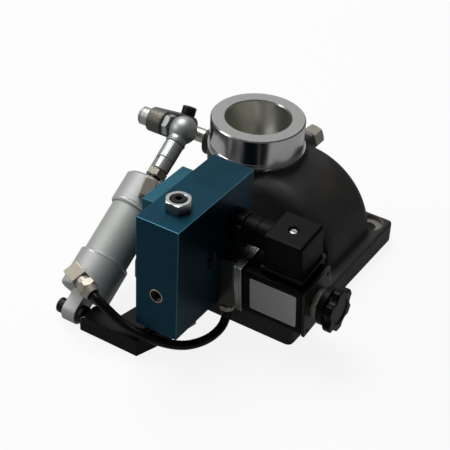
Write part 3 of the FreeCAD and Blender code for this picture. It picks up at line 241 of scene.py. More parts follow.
@dataclass(frozen=True)
class Metal(Finish):
    """A metal surface, with tool lines, brushing, plating or cast skin."""

    grain: Grain = Grain.PLATED
    metallic: float = 1.0
    spread: float = 0.08
    pitch: float = 0.25
    depth: float = 0.004
    centre: tuple[float, float, float] = (0.0, 0.0, 0.0)
    axis: tuple[float, float, float] = (0.0, 0.0, 1.0)
    gloss: float = 0.5

    def draw(self, tree: Tree) -> None:
        """Draws the metal: its worked lines, slow stains, roughness and bump.

        Args:
            tree: the material's empty tree.
        """
        spot = tree.spot()
        marks = getattr(self, "_" + self.grain.value)(tree, spot)
        stains = tree.ramp(tree.noise(spot, 60.0, 4.0), 0.3, 0.7)
        tree.surface(
            {
                "Base Color": tree.mix(0.55 * stains + 0.45 * marks, rgba(self.colour), rgba(self.shade)),
                "Metallic": self.metallic,
                "Specular IOR Level": self.gloss,
                "Roughness": self.roughness
                + self.spread * (marks - 0.5)
                + 0.5 * self.spread * (stains - 0.5),
                "Normal": tree.bump(marks, self.depth),
            }
        )

    def _turned(self, tree: Tree, spot: Wire) -> Wire:
        """Draws fine rings round the axis, on faces across it and along it.

        Args:
            tree: the material's tree.
            spot: the point on the piece.

        Returns:
            The rings, from 0 to 1.
        """
        arm = tree.vector("SUBTRACT", spot, [value * MM for value in self.centre])
        along = tree.vector("DOT_PRODUCT", arm, self.axis, "Value")
        out = tree.vector("LENGTH", tree.vector("CROSS_PRODUCT", arm, self.axis), output="Value")
        rings = tree.lines(out + along, 1.0 / (self.pitch * MM))
        wide = tree.lines(out + along, 0.15 / (self.pitch * MM))
        return tree.ramp(0.7 * rings + 0.3 * wide, 0.25, 0.75)

    def _brushed(self, tree: Tree, spot: Wire) -> Wire:
        """Draws long scratches along Y, and along X on faces that look along Y.

        Args:
            tree: the material's tree.
            spot: the point on the piece.

        Returns:
            The scratches, from 0 to 1.
        """
        dense = 1.0 / (self.pitch * MM)
        along_y = tree.noise(tree.vector("MULTIPLY", spot, (1.0, 0.02, 1.0)), dense)
        along_x = tree.noise(tree.vector("MULTIPLY", spot, (0.02, 1.0, 1.0)), dense)
        look = tree.node("ShaderNodeSeparateXYZ", None, {"Vector": tree.facing()}, "Y")
        share = tree.ramp(look * look, 0.4, 0.6)
        return tree.ramp(along_y + share * (along_x - along_y), 0.3, 0.7)

    def _plated(self, tree: Tree, spot: Wire) -> Wire:
        """The faint unevenness of a plated or machined face."""
        return tree.noise(spot, 1.0 / (self.pitch * MM), 5.0)

    def _cast(self, tree: Tree, spot: Wire) -> Wire:
        """Draws the rounded grains and pits of a sand-cast skin.

        Args:
            tree: the material's tree.
            spot: the point on the piece.

        Returns:
            The skin's height, from 0 to 1.
        """
        dense = 1.0 / (self.pitch * MM)
        grains = tree.node("ShaderNodeTexVoronoi", None, {"Vector": spot, "Scale": 0.6 * dense}, "Distance")
        return tree.ramp(0.6 * tree.noise(spot, dense, 6.0, 0.65) + 0.4 * grains, 0.15, 0.75)


@dataclass(frozen=True)
class Moulded(Finish):
    """A plastic, rubber or painted skin with a fine grain."""

    grain: float = 0.35
    depth: float = 0.01
    spread: float = 0.1
    gloss: float = 0.5

    def draw(self, tree: Tree) -> None:
        """Draws the skin: its grain, slow changes of tone, roughness and bump.

        Args:
            tree: the material's empty tree.
        """
        spot = tree.spot()
        grains = tree.noise(spot, 1.0 / (self.grain * MM), 4.0, 0.6)
        tone = tree.ramp(tree.noise(spot, 45.0, 3.0), 0.35, 0.68)
        rub = tree.ramp(tree.noise(spot, 260.0, 5.0, 0.7), 0.45, 0.75)
        tree.surface(
            {
                "Base Color": tree.mix(0.7 * tone + 0.3 * rub, rgba(self.colour), rgba(self.shade)),
                "Roughness": self.roughness + self.spread * (grains - 0.5) + 0.6 * self.spread * (tone - 0.5),
                "Specular IOR Level": self.gloss,
                "Normal": tree.bump(grains, self.depth),
            }
        )


COLLAR_CENTRE = (-25.0, 0.0, 0.0)
CYLINDER_PIVOT = (-64.6, -150.2, 7.6)
ROD_TILT = 31.9605
CLAMP_X = -10.0
CLAMP_Y = (-86.0, -73.5)
ROD_WAY = (0.0, math.cos(math.radians(ROD_TILT)), math.sin(math.radians(ROD_TILT)))

CAST_PAINT = Moulded(
    "cast_paint", (0.020, 0.019, 0.018), (0.037, 0.034, 0.031),
    0.54, grain=1.1, depth=0.12, spread=0.16, gloss=0.38,
)
TURNED_ALUMINIUM = Metal(
    "turned_aluminium", (0.74, 0.74, 0.73), (0.58, 0.58, 0.58), 0.20, Grain.TURNED, pitch=0.35, depth=0.002,
    centre=COLLAR_CENTRE,
)
FACED_ALUMINIUM = Metal(
    "faced_aluminium", (0.36, 0.37, 0.36), (0.32, 0.33, 0.32), 0.62, Grain.TURNED, 0.2, 0.05, 0.35, 0.002,
    centre=COLLAR_CENTRE, gloss=0.3,
)
BORED_ALUMINIUM = Metal(
    "bored_aluminium", (0.70, 0.70, 0.66), (0.50, 0.50, 0.46), 0.34, Grain.CAST, 1.0, 0.08, 4.0, 0.01
)
MACHINED = Metal(
    "machined_aluminium", (0.26, 0.25, 0.235), (0.17, 0.165, 0.15), 0.52, Grain.PLATED, 0.3, pitch=0.8
)
CLEAR_ANODISED = Metal(
    "clear_anodised", (0.54, 0.55, 0.54), (0.48, 0.49, 0.48), 0.50, Grain.TURNED, 0.5, 0.05, 0.30, 0.002,
    centre=CYLINDER_PIVOT, axis=ROD_WAY,
)
ANODISED_TUBE = Metal(
    "anodised_tube", (0.50, 0.52, 0.49), (0.45, 0.47, 0.44), 0.54, Grain.TURNED, 0.4, 0.05, 0.30, 0.002,
    centre=CYLINDER_PIVOT, axis=ROD_WAY,
)
# Painted highlight: the caps' outer chamfers are much lighter than the anodised caps, standing in for the
# bright line along them.
ANODISED_EDGE_HIGHLIGHT = Metal(
    "anodised_edge_highlight", (0.85, 0.86, 0.87), (0.72, 0.73, 0.74),
    0.30, Grain.TURNED, 0.9, pitch=0.30, depth=0.002,
    centre=CYLINDER_PIVOT, axis=ROD_WAY,
)
BLUE_ANODISED = Metal(
    "blue_anodised", (0.004, 0.036, 0.060), (0.007, 0.052, 0.084),
    0.38, Grain.BRUSHED, 0.85, 0.10, 0.22, 0.004, gloss=0.15,
)
# Painted sheen: the cover plate's blue is lighter than the block's, standing in for the sheen on its top.
BLUE_PLATE_SHEEN = Metal(
    "blue_plate_sheen", (0.020, 0.098, 0.142), (0.028, 0.120, 0.170),
    0.42, Grain.BRUSHED, 0.85, 0.10, 0.22, 0.004, gloss=0.15,
)
# Painted shade: the block's bores are darker than its faces, standing in for the shade inside them.
BLUE_BORE_SHADE = Metal("blue_bore_shade", (0.004, 0.012, 0.016), (0.008, 0.020, 0.026), 0.45, Grain.PLATED, 0.5)
# Painted highlight: a lighter teal on the block's and plate's bevelled edges and the plate's screw seats,
# standing in for the bright edge lines.
BLUE_EDGE_HIGHLIGHT = Metal("blue_edge_highlight", (0.030, 0.155, 0.215), (0.045, 0.20, 0.27), 0.40, Grain.PLATED, 0.6)
ZINC = Metal(
    "bright_zinc", (0.50, 0.52, 0.51), (0.40, 0.42, 0.41), 0.46, Grain.PLATED, 0.78, 0.06, 1.6, 0.001
)
NUT_ZINC = Metal(
    "zinc_nut", (0.52, 0.54, 0.53), (0.44, 0.46, 0.45), 0.34, Grain.PLATED, 1.0, 0.06, 1.6, 0.001
)
NICKEL = Metal(
    "warm_nickel", (0.47, 0.44, 0.37), (0.40, 0.375, 0.31), 0.46, Grain.PLATED, 0.75, 0.06, 1.6, 0.001
)
DARK_NICKEL = Metal(
    "dark_nickel", (0.30, 0.28, 0.235), (0.20, 0.18, 0.155), 0.30, Grain.PLATED, 1.0, 0.06, 1.2, 0.001
)
BRONZE = Metal("bronze", (0.60, 0.34, 0.18), (0.40, 0.22, 0.12), 0.32, Grain.PLATED, pitch=0.4, depth=0.002)
# Painted shade: a very dark bronze inside the front port's thread and behind its rim.
BRONZE_PORT_SHADE = Metal("bronze_port_shade", (0.05, 0.030, 0.020), (0.025, 0.016, 0.012), 0.40, Grain.PLATED, 0.7)
GROUND_STEEL = Metal(
    "ground_steel", (0.56, 0.54, 0.48), (0.44, 0.42, 0.37), 0.36, Grain.PLATED, 0.9, 0.05, 0.8, 0.001
)
SPRING_STEEL = Metal(
    "spring_steel", (0.42, 0.42, 0.43), (0.28, 0.28, 0.28), 0.34, Grain.PLATED, pitch=0.5, depth=0.002
)
SHEET_STEEL = Metal(
    "plated_sheet", (0.60, 0.60, 0.57), (0.48, 0.47, 0.44), 0.30, Grain.BRUSHED, pitch=0.3, depth=0.003
)
END_SHEET = Metal(
    "end_sheet", (0.022, 0.022, 0.022), (0.014, 0.014, 0.014),
    0.42, Grain.BRUSHED, 0.5, 0.08, 0.3, 0.004, gloss=0.3,
)
# Painted shade: the valve body's alloy is darkened to stand in for the shade that the block and coil cast on
# it.
VALVE_ALLOY_SHADED = Metal(
    "valve_alloy_shaded", (0.10, 0.106, 0.094), (0.06, 0.064, 0.056), 0.34, Grain.BRUSHED, 0.85, 0.08, 0.3, 0.003
)
CAST_LEVER = Metal(
    "cast_lever", (0.19, 0.18, 0.155), (0.075, 0.070, 0.060),
    0.50, Grain.CAST, 0.6, 0.2, pitch=1.1, depth=0.16,
)
BLACK_STEEL = Metal(
    "black_oxide", (0.012, 0.012, 0.014), (0.007, 0.007, 0.008),
    0.38, Grain.PLATED, 0.4, 0.08, 0.5, 0.002, gloss=0.3,
)
BRACKET_STEEL = Metal(
    "dark_bracket", (0.009, 0.009, 0.009), (0.005, 0.005, 0.005),
    0.48, Grain.BRUSHED, 0.1, 0.10, 0.5, 0.004, gloss=0.13,
)
# Worn edge, lightened further as a painted highlight: the bright rim along the bracket's rounded near end.
BRACKET_EDGE_HIGHLIGHT = Metal("worn_edge_highlight", (0.40, 0.40, 0.39), (0.22, 0.22, 0.21), 0.34, Grain.PLATED, 0.9)
LABEL_METAL = Metal(
    "label_metal", (0.92, 0.92, 0.90), (0.86, 0.86, 0.84), 0.42, Grain.BRUSHED, 0.0, pitch=0.2, depth=0.001
)
BLACK_PLASTIC = Moulded(
    "moulded_black", (0.0022, 0.0022, 0.0023), (0.0036, 0.0036, 0.0037),
    0.46, grain=0.30, depth=0.008, gloss=0.08,
)
KNOB_PLASTIC = Moulded(
    "knob_black", (0.0020, 0.0020, 0.0021), (0.0034, 0.0034, 0.0035),
    0.36, grain=0.45, depth=0.01, gloss=0.13,
)
RUBBER = Moulded(
    "black_rubber", (0.010, 0.010, 0.010), (0.016, 0.016, 0.016), 0.62, grain=0.5, depth=0.012, gloss=0.2
)
GREY_RUBBER = Moulded(
    "grey_rubber", (0.006, 0.006, 0.006), (0.010, 0.010, 0.010), 0.55, grain=0.5, depth=0.01, gloss=0.25
)
HOSE_SKIN = Moulded(
    "hose_black", (0.0014, 0.0014, 0.0016), (0.0024, 0.0024, 0.0027),
    0.26, grain=1.2, depth=0.004, gloss=0.2,
)


# Solids


def aim(start: Vector, way: Vector) -> Matrix:
    """The placement whose origin is start and whose Z axis points along way."""
    return Matrix.Translation(start) @ Z.rotation_difference(way).to_matrix().to_4x4()


class Solid:
    """A closed mesh in millimetres, worked like a piece of stock. Its faces have slot 0, 1 or 2."""

    def __init__(self, points: Sequence[Vector], faces: Sequence[Sequence[int]], slot: int = 0) -> None:
        """Makes the mesh from points and faces, with its faces turned outwards.

        Args:
            points: its corners.
            faces: each face as indices of points.
            slot: the slot of all its faces.
        """
        mesh = bpy.data.meshes.new("stock")
        mesh.from_pydata([tuple(point) for point in points], [], [tuple(face) for face in faces])
        shell = bmesh.new()
        shell.from_mesh(mesh)
        bmesh.ops.remove_doubles(shell, verts=shell.verts, dist=1e-4)
        bmesh.ops.recalc_face_normals(shell, faces=shell.faces)
        for face in shell.faces:
            face.material_index = slot
        shell.to_mesh(mesh)
        shell.free()
        for _ in range(3):
            mesh.materials.append(None)
        self.thing = bpy.data.objects.new("stock", mesh)
        bpy.context.scene.collection.objects.link(self.thing)

    @classmethod
    def box(cls, low: Sequence[float], high: Sequence[float], slot: int = 0) -> "Solid":
        """Makes a box between two corners.

        Args:
            low: its lowest corner.
            high: its highest corner.
            slot: its faces' slot.

        Returns:
            The box.
        """
        (left, near, under), (right, far, over) = low, high
        points = [Vector((x, y, z)) for x in (left, right) for y in (near, far) for z in (under, over)]
        faces = [(0, 1, 3, 2), (4, 5, 7, 6), (0, 1, 5, 4), (2, 3, 7, 6), (0, 2, 6, 4), (1, 3, 7, 5)]
        return cls(points, faces, slot)

    @classmethod
    def turned(
        cls,
        profile: Sequence[tuple[float, float]],
        start: Vector,
        way: Vector,
        steps: int = 64,
        slot: int = 0,
    ) -> "Solid":
        """Turns a solid about the line from start along way.

        Args:
            profile: its (distance, radius) pairs, round the section.
            start: where the distance is 0.
            way: the axis.
            steps: how many flats stand for the circle.
            slot: its faces' slot.

        Returns:
            The turned solid.
        """
        points, faces, count = [], [], len(profile)
        for step in range(steps):
            angle = 2 * math.pi * step / steps
            turn = (math.cos(angle), math.sin(angle))
            points += [Vector((radius * turn[0], radius * turn[1], along)) for along, radius in profile]
            near, far = step * count, (step + 1) % steps * count
            for index in range(count):
                after = (index + 1) % count
                faces.append((near + index, near + after, far + after, far + index))
        return cls(points, faces, slot).move(aim(start, way))

    @classmethod
    def rod(cls, radius: float, start: Vector, end: Vector, steps: int = 64, slot: int = 0) -> "Solid":
        """Makes a round bar from one point to another.

        Args:
            radius: its radius.
            start: the middle of one end.
            end: the middle of the other end.
            steps: how many flats stand for the circle.
            slot: its faces' slot.

        Returns:
            The bar.
        """
        length = (end - start).length
        profile = [(0, 0), (0, radius), (length, radius), (length, 0)]
        return cls.turned(profile, start, end - start, steps, slot)

    @classmethod
    def tube(cls, outer: float, inner: float, start: Vector, end: Vector, steps: int = 64) -> "Solid":
        """Makes a tube from one point to another.

        Args:
            outer: its outer radius.
            inner: its inner radius.
            start: the middle of one end.
            end: the middle of the other end.
            steps: how many flats stand for the circle.

        Returns:
            The tube.
        """
        length = (end - start).length
        profile = [(0, inner), (0, outer), (length, outer), (length, inner)]
        return cls.turned(profile, start, end - start, steps)

    @classmethod
    def prism(cls, outline: Sequence[Vector], way: Vector, slot: int = 0) -> "Solid":
        """Sweeps a closed outline along a vector.

        Args:
            outline: its corners in order.
            way: the vector.
            slot: its faces' slot.

        Returns:
            The swept solid.
        """
        count = len(outline)
        points = list(outline) + [point + way for point in outline]
        faces = [tuple(range(count)), tuple(range(count, 2 * count))]
        for index in range(count):
            after = (index + 1) % count
            faces.append((index, after, count + after, count + index))
        return cls(points, faces, slot)

    @classmethod
    def ball(cls, radius: float, centre: Vector, way: Vector = Z, steps: int = 48) -> "Solid":
        """Makes a sphere.

        Args:
            radius: its radius.
            centre: its middle.
            way: the line of its poles.
            steps: how many flats go round it.

        Returns:
            The ball.
        """
        half = steps // 2
        turns = [math.pi * step / half for step in range(half + 1)]
        profile = [(-radius * math.cos(turn), radius * math.sin(turn)) for turn in turns]
        profile[0], profile[-1] = (-radius, 0.0), (radius, 0.0)
        return cls.turned(profile, centre, way, steps)

    @classmethod
    def hexagon(
        cls, flats: float, start: Vector, way: Vector, turn: float = 0.0, bevel: float = 0.6
    ) -> "Solid":
        """Makes a hexagon bar.

        Args:
            flats: its width across flats.
            start: the middle of its first end.
            way: the vector to its other end.
            turn: its turn about that vector, in degrees.
            bevel: how far its corners are turned off at both ends.

        Returns:
            The bar.
        """
        length, corner = way.length, flats / math.sqrt(3)
        turns = [math.radians(60 * step + turn) for step in range(6)]
        bar = cls.prism([Vector((corner * math.cos(a), corner * math.sin(a), 0)) for a in turns], Z * length)
        if bevel:
            rim, wide = flats / 2 - 0.05, corner + 0.2
            drop = bevel * (wide - rim) / (corner - rim)
            profile = [(0, 0), (0, rim), (drop, wide), (length - drop, wide), (length, rim), (length, 0)]
            bar.keep(cls.turned(profile, Vector(), Z, 96))
        return bar.move(aim(start, way))

    @classmethod
    def bore(
        cls, radius: float, mouth: Vector, way: Vector, chamfer: float = 0.4, slot: int = 0, steps: int = 48
    ) -> "Solid":
        """Makes the tool for a hole with a chamfered edge.

        Args:
            radius: the hole's radius.
            mouth: the middle of its mouth.
            way: the vector to its bottom.
            chamfer: the chamfer's width.
            slot: the slot of the faces that it leaves.
            steps: how many flats go round it.

        Returns:
            The tool.
        """
        length = way.length
        flare = radius + chamfer
        mouth_radius = flare + (1 if chamfer else 0)
        profile = [(-1, 0), (-1, mouth_radius), (chamfer, radius), (length, radius), (length, 0)]
        return cls.turned(profile, mouth, way, steps, slot)

    @classmethod
    def hoop(cls, radius: float, wire: float, turn: float, place: Matrix, steps: int = 72) -> "Solid":
        """Bends a round wire to part of a circle, in the placement's XY plane.

        Args:
            radius: the bend's radius.
            wire: the wire's radius.
            turn: how far it goes round, in degrees.
            place: the placement.
            steps: how many pieces stand for the bend.

        Returns:
            The wire.
        """
        sides = 12
        points, faces = [], []
        for step in range(steps + 1):
            angle = math.radians(turn) * step / steps
            for side in range(sides):
                swing = 2 * math.pi * side / sides
                out = radius + wire * math.cos(swing)
                points.append(Vector((out * math.cos(angle), out * math.sin(angle), wire * math.sin(swing))))
        for step in range(steps):
            for side in range(sides):
                near, far = step * sides, (step + 1) * sides
                after = (side + 1) % sides
                faces.append((near + side, near + after, far + after, far + side))
        faces += [tuple(range(sides)), tuple(range(steps * sides, (steps + 1) * sides))]
        return cls(points, faces).move(place)

    def move(self, placement: Matrix) -> "Solid":
        """Moves the solid by a matrix."""
        self.thing.data.transform(placement)
        return self

    def _apply(self) -> "Solid":
        """Turns the modifiers into the mesh itself.

        Returns:
            This solid.
        """
        graph = bpy.context.evaluated_depsgraph_get()
        made = bpy.data.meshes.new_from_object(self.thing.evaluated_get(graph))
        old = self.thing.data
        self.thing.modifiers.clear()
        while len(made.materials) < 3:
            made.materials.append(None)
        self.thing.data = made
        bpy.data.meshes.remove(old)
        return self

    def _work(self, operation: str, tools: Sequence["Solid"]) -> "Solid":
        """Works the stock with each tool in turn, and uses the tools up.

        Args:
            operation: the boolean operation's name.
            tools: the solids that it is done with.

        Returns:
            This solid.
        """
        for tool in tools:
            change = self.thing.modifiers.new("work", "BOOLEAN")
            change.operation = operation
            change.solver = "EXACT"
            change.object = tool.thing
        self._apply()
        for tool in tools:
            tool.discard()
        return self

    def cut(self, *tools: "Solid") -> "Solid":
        """Takes tools away from the stock."""
        return self._work("DIFFERENCE", tools)

    def join(self, *tools: "Solid") -> "Solid":
        """Adds solids to the stock."""
        return self._work("UNION", tools)

    def keep(self, *tools: "Solid") -> "Solid":
        """Keeps what the stock shares with the tools."""
        return self._work("INTERSECT", tools)

    def add(self, *others: "Solid") -> "Solid":
        """Adds separate solids to the mesh without working them together.

        Args:
            others: the solids, which are used up.

        Returns:
            This solid.
        """
        shell = bmesh.new()
        for solid in (self, *others):
            shell.from_mesh(solid.thing.data)
        shell.to_mesh(self.thing.data)
        shell.free()
        for solid in others:
            solid.discard()
        return self

    def bevel(self, width: float, steps: int = 2, angle: float = 32.0, slot: int = -1) -> "Solid":
        """Rounds the edges that are sharper than an angle.

        Args:
            width: the rounding's width.
            steps: its number of facets.
            angle: the angle in degrees.
            slot: the slot of the new faces, or -1 for that of their neighbours.

        Returns:
            This solid.
        """
        edge = self.thing.modifiers.new("edge", "BEVEL")
        edge.width = width
        edge.segments = steps
        edge.limit_method = "ANGLE"
        edge.angle_limit = math.radians(angle)
        edge.material = slot
        return self._apply()

    def soften(self, voxel: float, passes: int) -> "Solid":
        """Remeshes the stock and rounds its corners, inside ones too, as a casting's are.

        Args:
            voxel: the new mesh's grain.
            passes: how often it is smoothed.

        Returns:
            This solid.
        """
        mesh = self.thing.modifiers.new("skin", "REMESH")
        mesh.mode = "VOXEL"
        mesh.voxel_size = voxel
        blend = self.thing.modifiers.new("blend", "SMOOTH")
        blend.factor = 0.5
        blend.iterations = passes
        return self._apply()

    def paint(self, slot: int, test: Callable[[Vector, Vector], bool]) -> "Solid":
        """Gives a slot to the faces whose centre and normal pass a test.

        Args:
            slot: the slot.
            test: whether a face with this centre and normal takes it.

        Returns:
            This solid.
        """
        for face in self.thing.data.polygons:
            if test(face.center, face.normal):
                face.material_index = slot
        return self

    def discard(self) -> None:
        """Removes the solid."""
        mesh = self.thing.data
        bpy.data.objects.remove(self.thing)
        bpy.data.meshes.remove(mesh)

    def place(
        self,
        name: str,
        body: str,
        finishes: Sequence[Finish],
        replaces: Sequence[str] = (),
        crease: float = 38.0,
    ) -> bpy.types.Object:
        """Finishes the solid as a piece of the part.

        Args:
            name: the piece's name.
            body: the CAD body that it rides on.
            finishes: its finishes, one for each slot in use.
            replaces: the CAD nodes that it stands for, which it hides.
            crease: the angle in degrees from which an edge stays sharp.

        Returns:
            The piece, in metres.
        """
        mesh = self.thing.data
        mesh.transform(Matrix.Scale(MM, 4))
        slots = [min(face.material_index, len(finishes) - 1) for face in mesh.polygons]
        mesh.materials.clear()
        for finish in finishes:
            mesh.materials.append(finish.material())
        mesh.polygons.foreach_set("material_index", slots)
        mesh.shade_smooth()
        mesh.set_sharp_from_angle(angle=math.radians(crease))
        even = self.thing.modifiers.new("even", "WEIGHTED_NORMAL")
        even.keep_sharp = True
        self._apply()
        self.thing.name = name
        self.thing.data.name = name
        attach(self.thing, body)
        if replaces:
            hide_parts(*replaces)
        LOG.info("%s: %d faces, on %s", name, len(self.thing.data.polygons), body)
        return self.thing


def threaded(
    radius: float, start: float, end: float, pitch: float = 1.0, depth: float = 0.45
) -> list[tuple[float, float]]:
    """Gives the profile of a thread between two distances.

    Args:
        radius: the crests' radius.
        start: the first distance.
        end: the last distance.
        pitch: the distance from crest to crest, about.
        depth: how far the roots lie under the crests.

    Returns:
        The (distance, radius) pairs of its crests and roots.
    """
    turns = max(1, round((end - start) / pitch))
    step = (end - start) / turns
    pairs = [(start, radius - depth)]
    for turn in range(turns):
        base = start + turn * step
        pairs += [(base + 0.35 * step, radius), (base + 0.65 * step, radius), (base + step, radius - depth)]
    return pairs


def lobed(
    radius: float, lobes: int, bite: float, reach: float, phase: float = 0.0
) -> list[tuple[float, float]]:
    """Gives a round outline with bites out of its rim.

    Args:
        radius: the rim's radius.
        lobes: how many bites.
        bite: a bite's radius.
        reach: the distance from the middle to a bite's centre.
        phase: the first bite's angle.

    Returns:
        The outline's (across, up) pairs.
    """
    steps, sector = 240, 2 * math.pi / lobes
    radii = []
    for step in range(steps):
        off = (2 * math.pi * step / steps - phase + sector / 2) % sector - sector / 2
        under = bite**2 - (reach * math.sin(off)) ** 2
        radii.append(min(radius, reach * math.cos(off) - math.sqrt(under)) if under > 0 else radius)
    for _ in range(2):
        radii = [(radii[i - 1] + radii[i] + radii[(i + 1) % steps]) / 3 for i in range(steps)]
    turns = [2 * math.pi * step / steps for step in range(steps)]
    return [(out * math.cos(turn), out * math.sin(turn)) for out, turn in zip(radii, turns)]


def rounded(
    corners: Sequence[tuple[float, float]], radius: float, steps: int = 5
) -> list[tuple[float, float]]:
    """Rounds off each corner of an outline.

    Args:
        corners: its corner points.
        radius: how far before a corner the rounding starts.
        steps: its number of facets.

    Returns:
        The rounded outline.
    """
    outline = []
    for index, corner in enumerate(corners):
        here = Vector(corner)
        back = (Vector(corners[index - 1]) - here).normalized()
        ahead = (Vector(corners[(index + 1) % len(corners)]) - here).normalized()
        start, end = here + back * radius, here + ahead * radius
        for step in range(steps + 1):
            share = step / steps
            point = start.lerp(here, share).lerp(here.lerp(end, share), share)
            outline.append((point.x, point.y))
    return outline


@dataclass
class RodLine:
    """The air cylinder's own frame: its rod along one line from the pivot to the ball."""

    pivot: Vector = field(default_factory=lambda: Vector(CYLINDER_PIVOT))
    way: Vector = field(default_factory=lambda: Vector(ROD_WAY))
    ball: float = 141.338

    def stem(self, turn: float) -> Vector:
        """The unit vector out of the cylinder at a turn about its rod, from upright."""
        upright = Vector((0.0, -self.way.z, self.way.y))
        return X * math.sin(math.radians(turn)) + upright * math.cos(math.radians(turn))

    def point(self, distance: float, across: float = 0.0, turn: float = 0.0) -> Vector:
        """A point at a distance along the rod, and across it at a turn."""
        return self.pivot + self.way * distance + self.stem(turn) * across

    def placement(self, distance: float, turn: float = 0.0) -> Matrix:
        """The placement at a distance along the rod, turned about it, with Z along the rod."""
        lean = Matrix.Rotation(math.radians(ROD_TILT - 90), 4, "X")
        return Matrix.Translation(self.point(distance)) @ lean @ Matrix.Rotation(math.radians(turn), 4, "Z")


# Sub-assemblies


@dataclass(frozen=True)
class Thread:
    """The radii of a screw and of the hole that it goes in."""

    screw: float
    hole: float


M4 = Thread(2.0, 2.05)
M6 = Thread(3.0, 3.05)
M8 = Thread(4.0, 4.05)
SETTING_THREAD = Thread(4.9, 5.05)


@dataclass
class ValveCasting:
    """The flange, arch and neck in one casting, and what is turned or screwed into it."""

    half_x: float = 61.0
    near_y: float = -92.5
    far_y: float = 49.5
    thickness: float = 14.7
    bolt: tuple[float, float] = (47.0, 38.0)
    arch_radius: float = 53.0
    arch_half: float = 32.0
    arch_edge: float = 10.0
    neck_x: float = -25.0
    neck_radius: float = 33.0
    neck_top: float = 70.7
    shaft_z: float = 61.6
    boss_x: float = -62.0
    tapping: tuple[float, float, float] = (-6.0, 33.0, 62.0)
    bore: float = 22.0
    liner: float = 25.0
    liner_z: float = 40.0
    outlet: float = 26.0
    corner: float = 4.0
    stock: float = 6.0
    skin: float = 1.0
    skin_passes: int = 9
    boss_radius: float = 11.0
    bush: float = 7.0
    shaft_hole: float = 5.5
    tapping_radius: float = 9.0
    tapping_thread: float = 4.95
    groove: tuple[float, float, float] = (34.0, 30.0, 2.5)
    bolt_hole: float = 5.5
    seat_radius: float = 10.0
    seat_depth: float = 4.0
    seat_edge: float = 0.9
    collar_top: float = 92.4
    collar_rim: float = 32.0
    shoulder: float = 1.2
    fitting_flats: float = 14.0
    fitting_neck: float = 4.0
    fitting_length: float = 11.0
    fitting_turn: float = 12.0
    fitting_bore: float = 2.5

    def build(self) -> None:
        """Builds the casting, its collar and its tapping fitting."""
        self.body()
        self.collar()
        self.fitting()

    def on_shaft(self, x: float) -> Vector:
        """A point on the throttle shaft's axis."""
        return Vector((x, 0, self.shaft_z))

    def raw(self) -> Solid:
        """Makes the rough casting, with stock left on its machined faces.

        Returns:
            The casting.
        """
        half, near, far = self.half_x, self.near_y, self.far_y
        corners = rounded([(-half, near), (half, near), (half, far), (-half, far)], self.corner)
        outline = [Vector((x, y, -self.stock)) for x, y in corners]
        flange = Solid.prism(outline, Z * (self.thickness + self.stock))
        turns = [math.radians(18 * step) for step in range(6)]
        rim, reach = self.arch_radius - self.arch_edge, self.arch_half - self.arch_edge
        side = [(reach + self.arch_edge * math.sin(a), rim + self.arch_edge * math.cos(a)) for a in turns]
        other = [(-along, out) for along, out in reversed(side)]
        profile = [(-self.arch_half, 0)] + other + side + [(self.arch_half, 0)]
        arch = Solid.turned(profile, Vector((0, 0, self.thickness)), Y, 128)
        arch.cut(Solid.box((-70, -70, -60), (70, 70, 3)))
        top = Vector((self.neck_x, 0, self.neck_top + 5))
        neck = Solid.rod(self.neck_radius, Vector((self.neck_x, 0, 7)), top, 128)
        shaft_start, shaft_end = self.on_shaft(self.boss_x - 4), self.on_shaft(self.neck_x)
        boss = Solid.rod(self.boss_radius, shaft_start, shaft_end)
        x, y, z = self.tapping
        tapping = Solid.rod(self.tapping_radius, Vector((x, 10, z)), Vector((x, y + 4, z)))
        for lug in (boss, tapping):
            lug.cut(Solid.box((-90, -60, self.neck_top - 0.5), (60, 60, 90)))
        return flange.join(arch, neck, boss, tapping).soften(self.skin, self.skin_passes)

    def body(self) -> None:
        """Machines the rough casting: its faces, bores, seats and holes."""
        x, y, z = self.tapping
        top, low = self.neck_top, self.liner_z
        outer, inner, depth = self.groove
        tools = [
            Solid.box((-90, -120, -20), (90, 90, 0), 1),
            Solid.box((-90, -60, top), (40, 60, 100), 1),
            Solid.box((self.boss_x - 20, -30, 30), (self.boss_x, 30, 90), 1),
            Solid.box((x - 15, y, z - 15), (x + 15, y + 20, z + 7.5), 1),
            Solid.rod(self.liner, Vector((self.neck_x, 0, low)), Vector((self.neck_x, 0, top + 9)), 96, 1),
            Solid.rod(self.bush, self.on_shaft(self.boss_x - 9), self.on_shaft(7.0), 48, 1),
            Solid.bore(self.tapping_thread, Vector((x, y, z)), Y * -13, 0.8, 1),
            self.duct(),
            Solid.tube(outer, inner, Vector((0, 0, -9)), Vector((0, 0, depth)), 96),
            Solid.box((-25.05, -110, -9), (-0.95, -65.95, 6.05), 1),
        ]
        for side_x in (-self.bolt[0], self.bolt[0]):
            for side_y in (-self.bolt[1], self.bolt[1]):
                spot = Vector((side_x, side_y, 0))
                tools.append(Solid.rod(self.bolt_hole, spot - Z * 9, spot + Z * 30, 48, 1))
                inner, outer = self.seat_radius, self.seat_radius + self.seat_edge
                seat = [(-self.seat_depth, 0), (-self.seat_depth, inner), (-0.5, inner)]
                seat += [(0.4, outer), (45, outer), (45, 0)]
                tools.append(Solid.turned(seat, spot + Z * self.thickness, Z, 96))
        for y in CLAMP_Y:
            tools.append(Solid.rod(M6.hole, Vector((CLAMP_X, y, -9)), Vector((CLAMP_X, y, 40)), 32, 1))
        casting = self.raw().cut(*tools).paint(1, self.machined)
        casting.place("casting", "frame", [CAST_PAINT, MACHINED], ["valve_casting"])

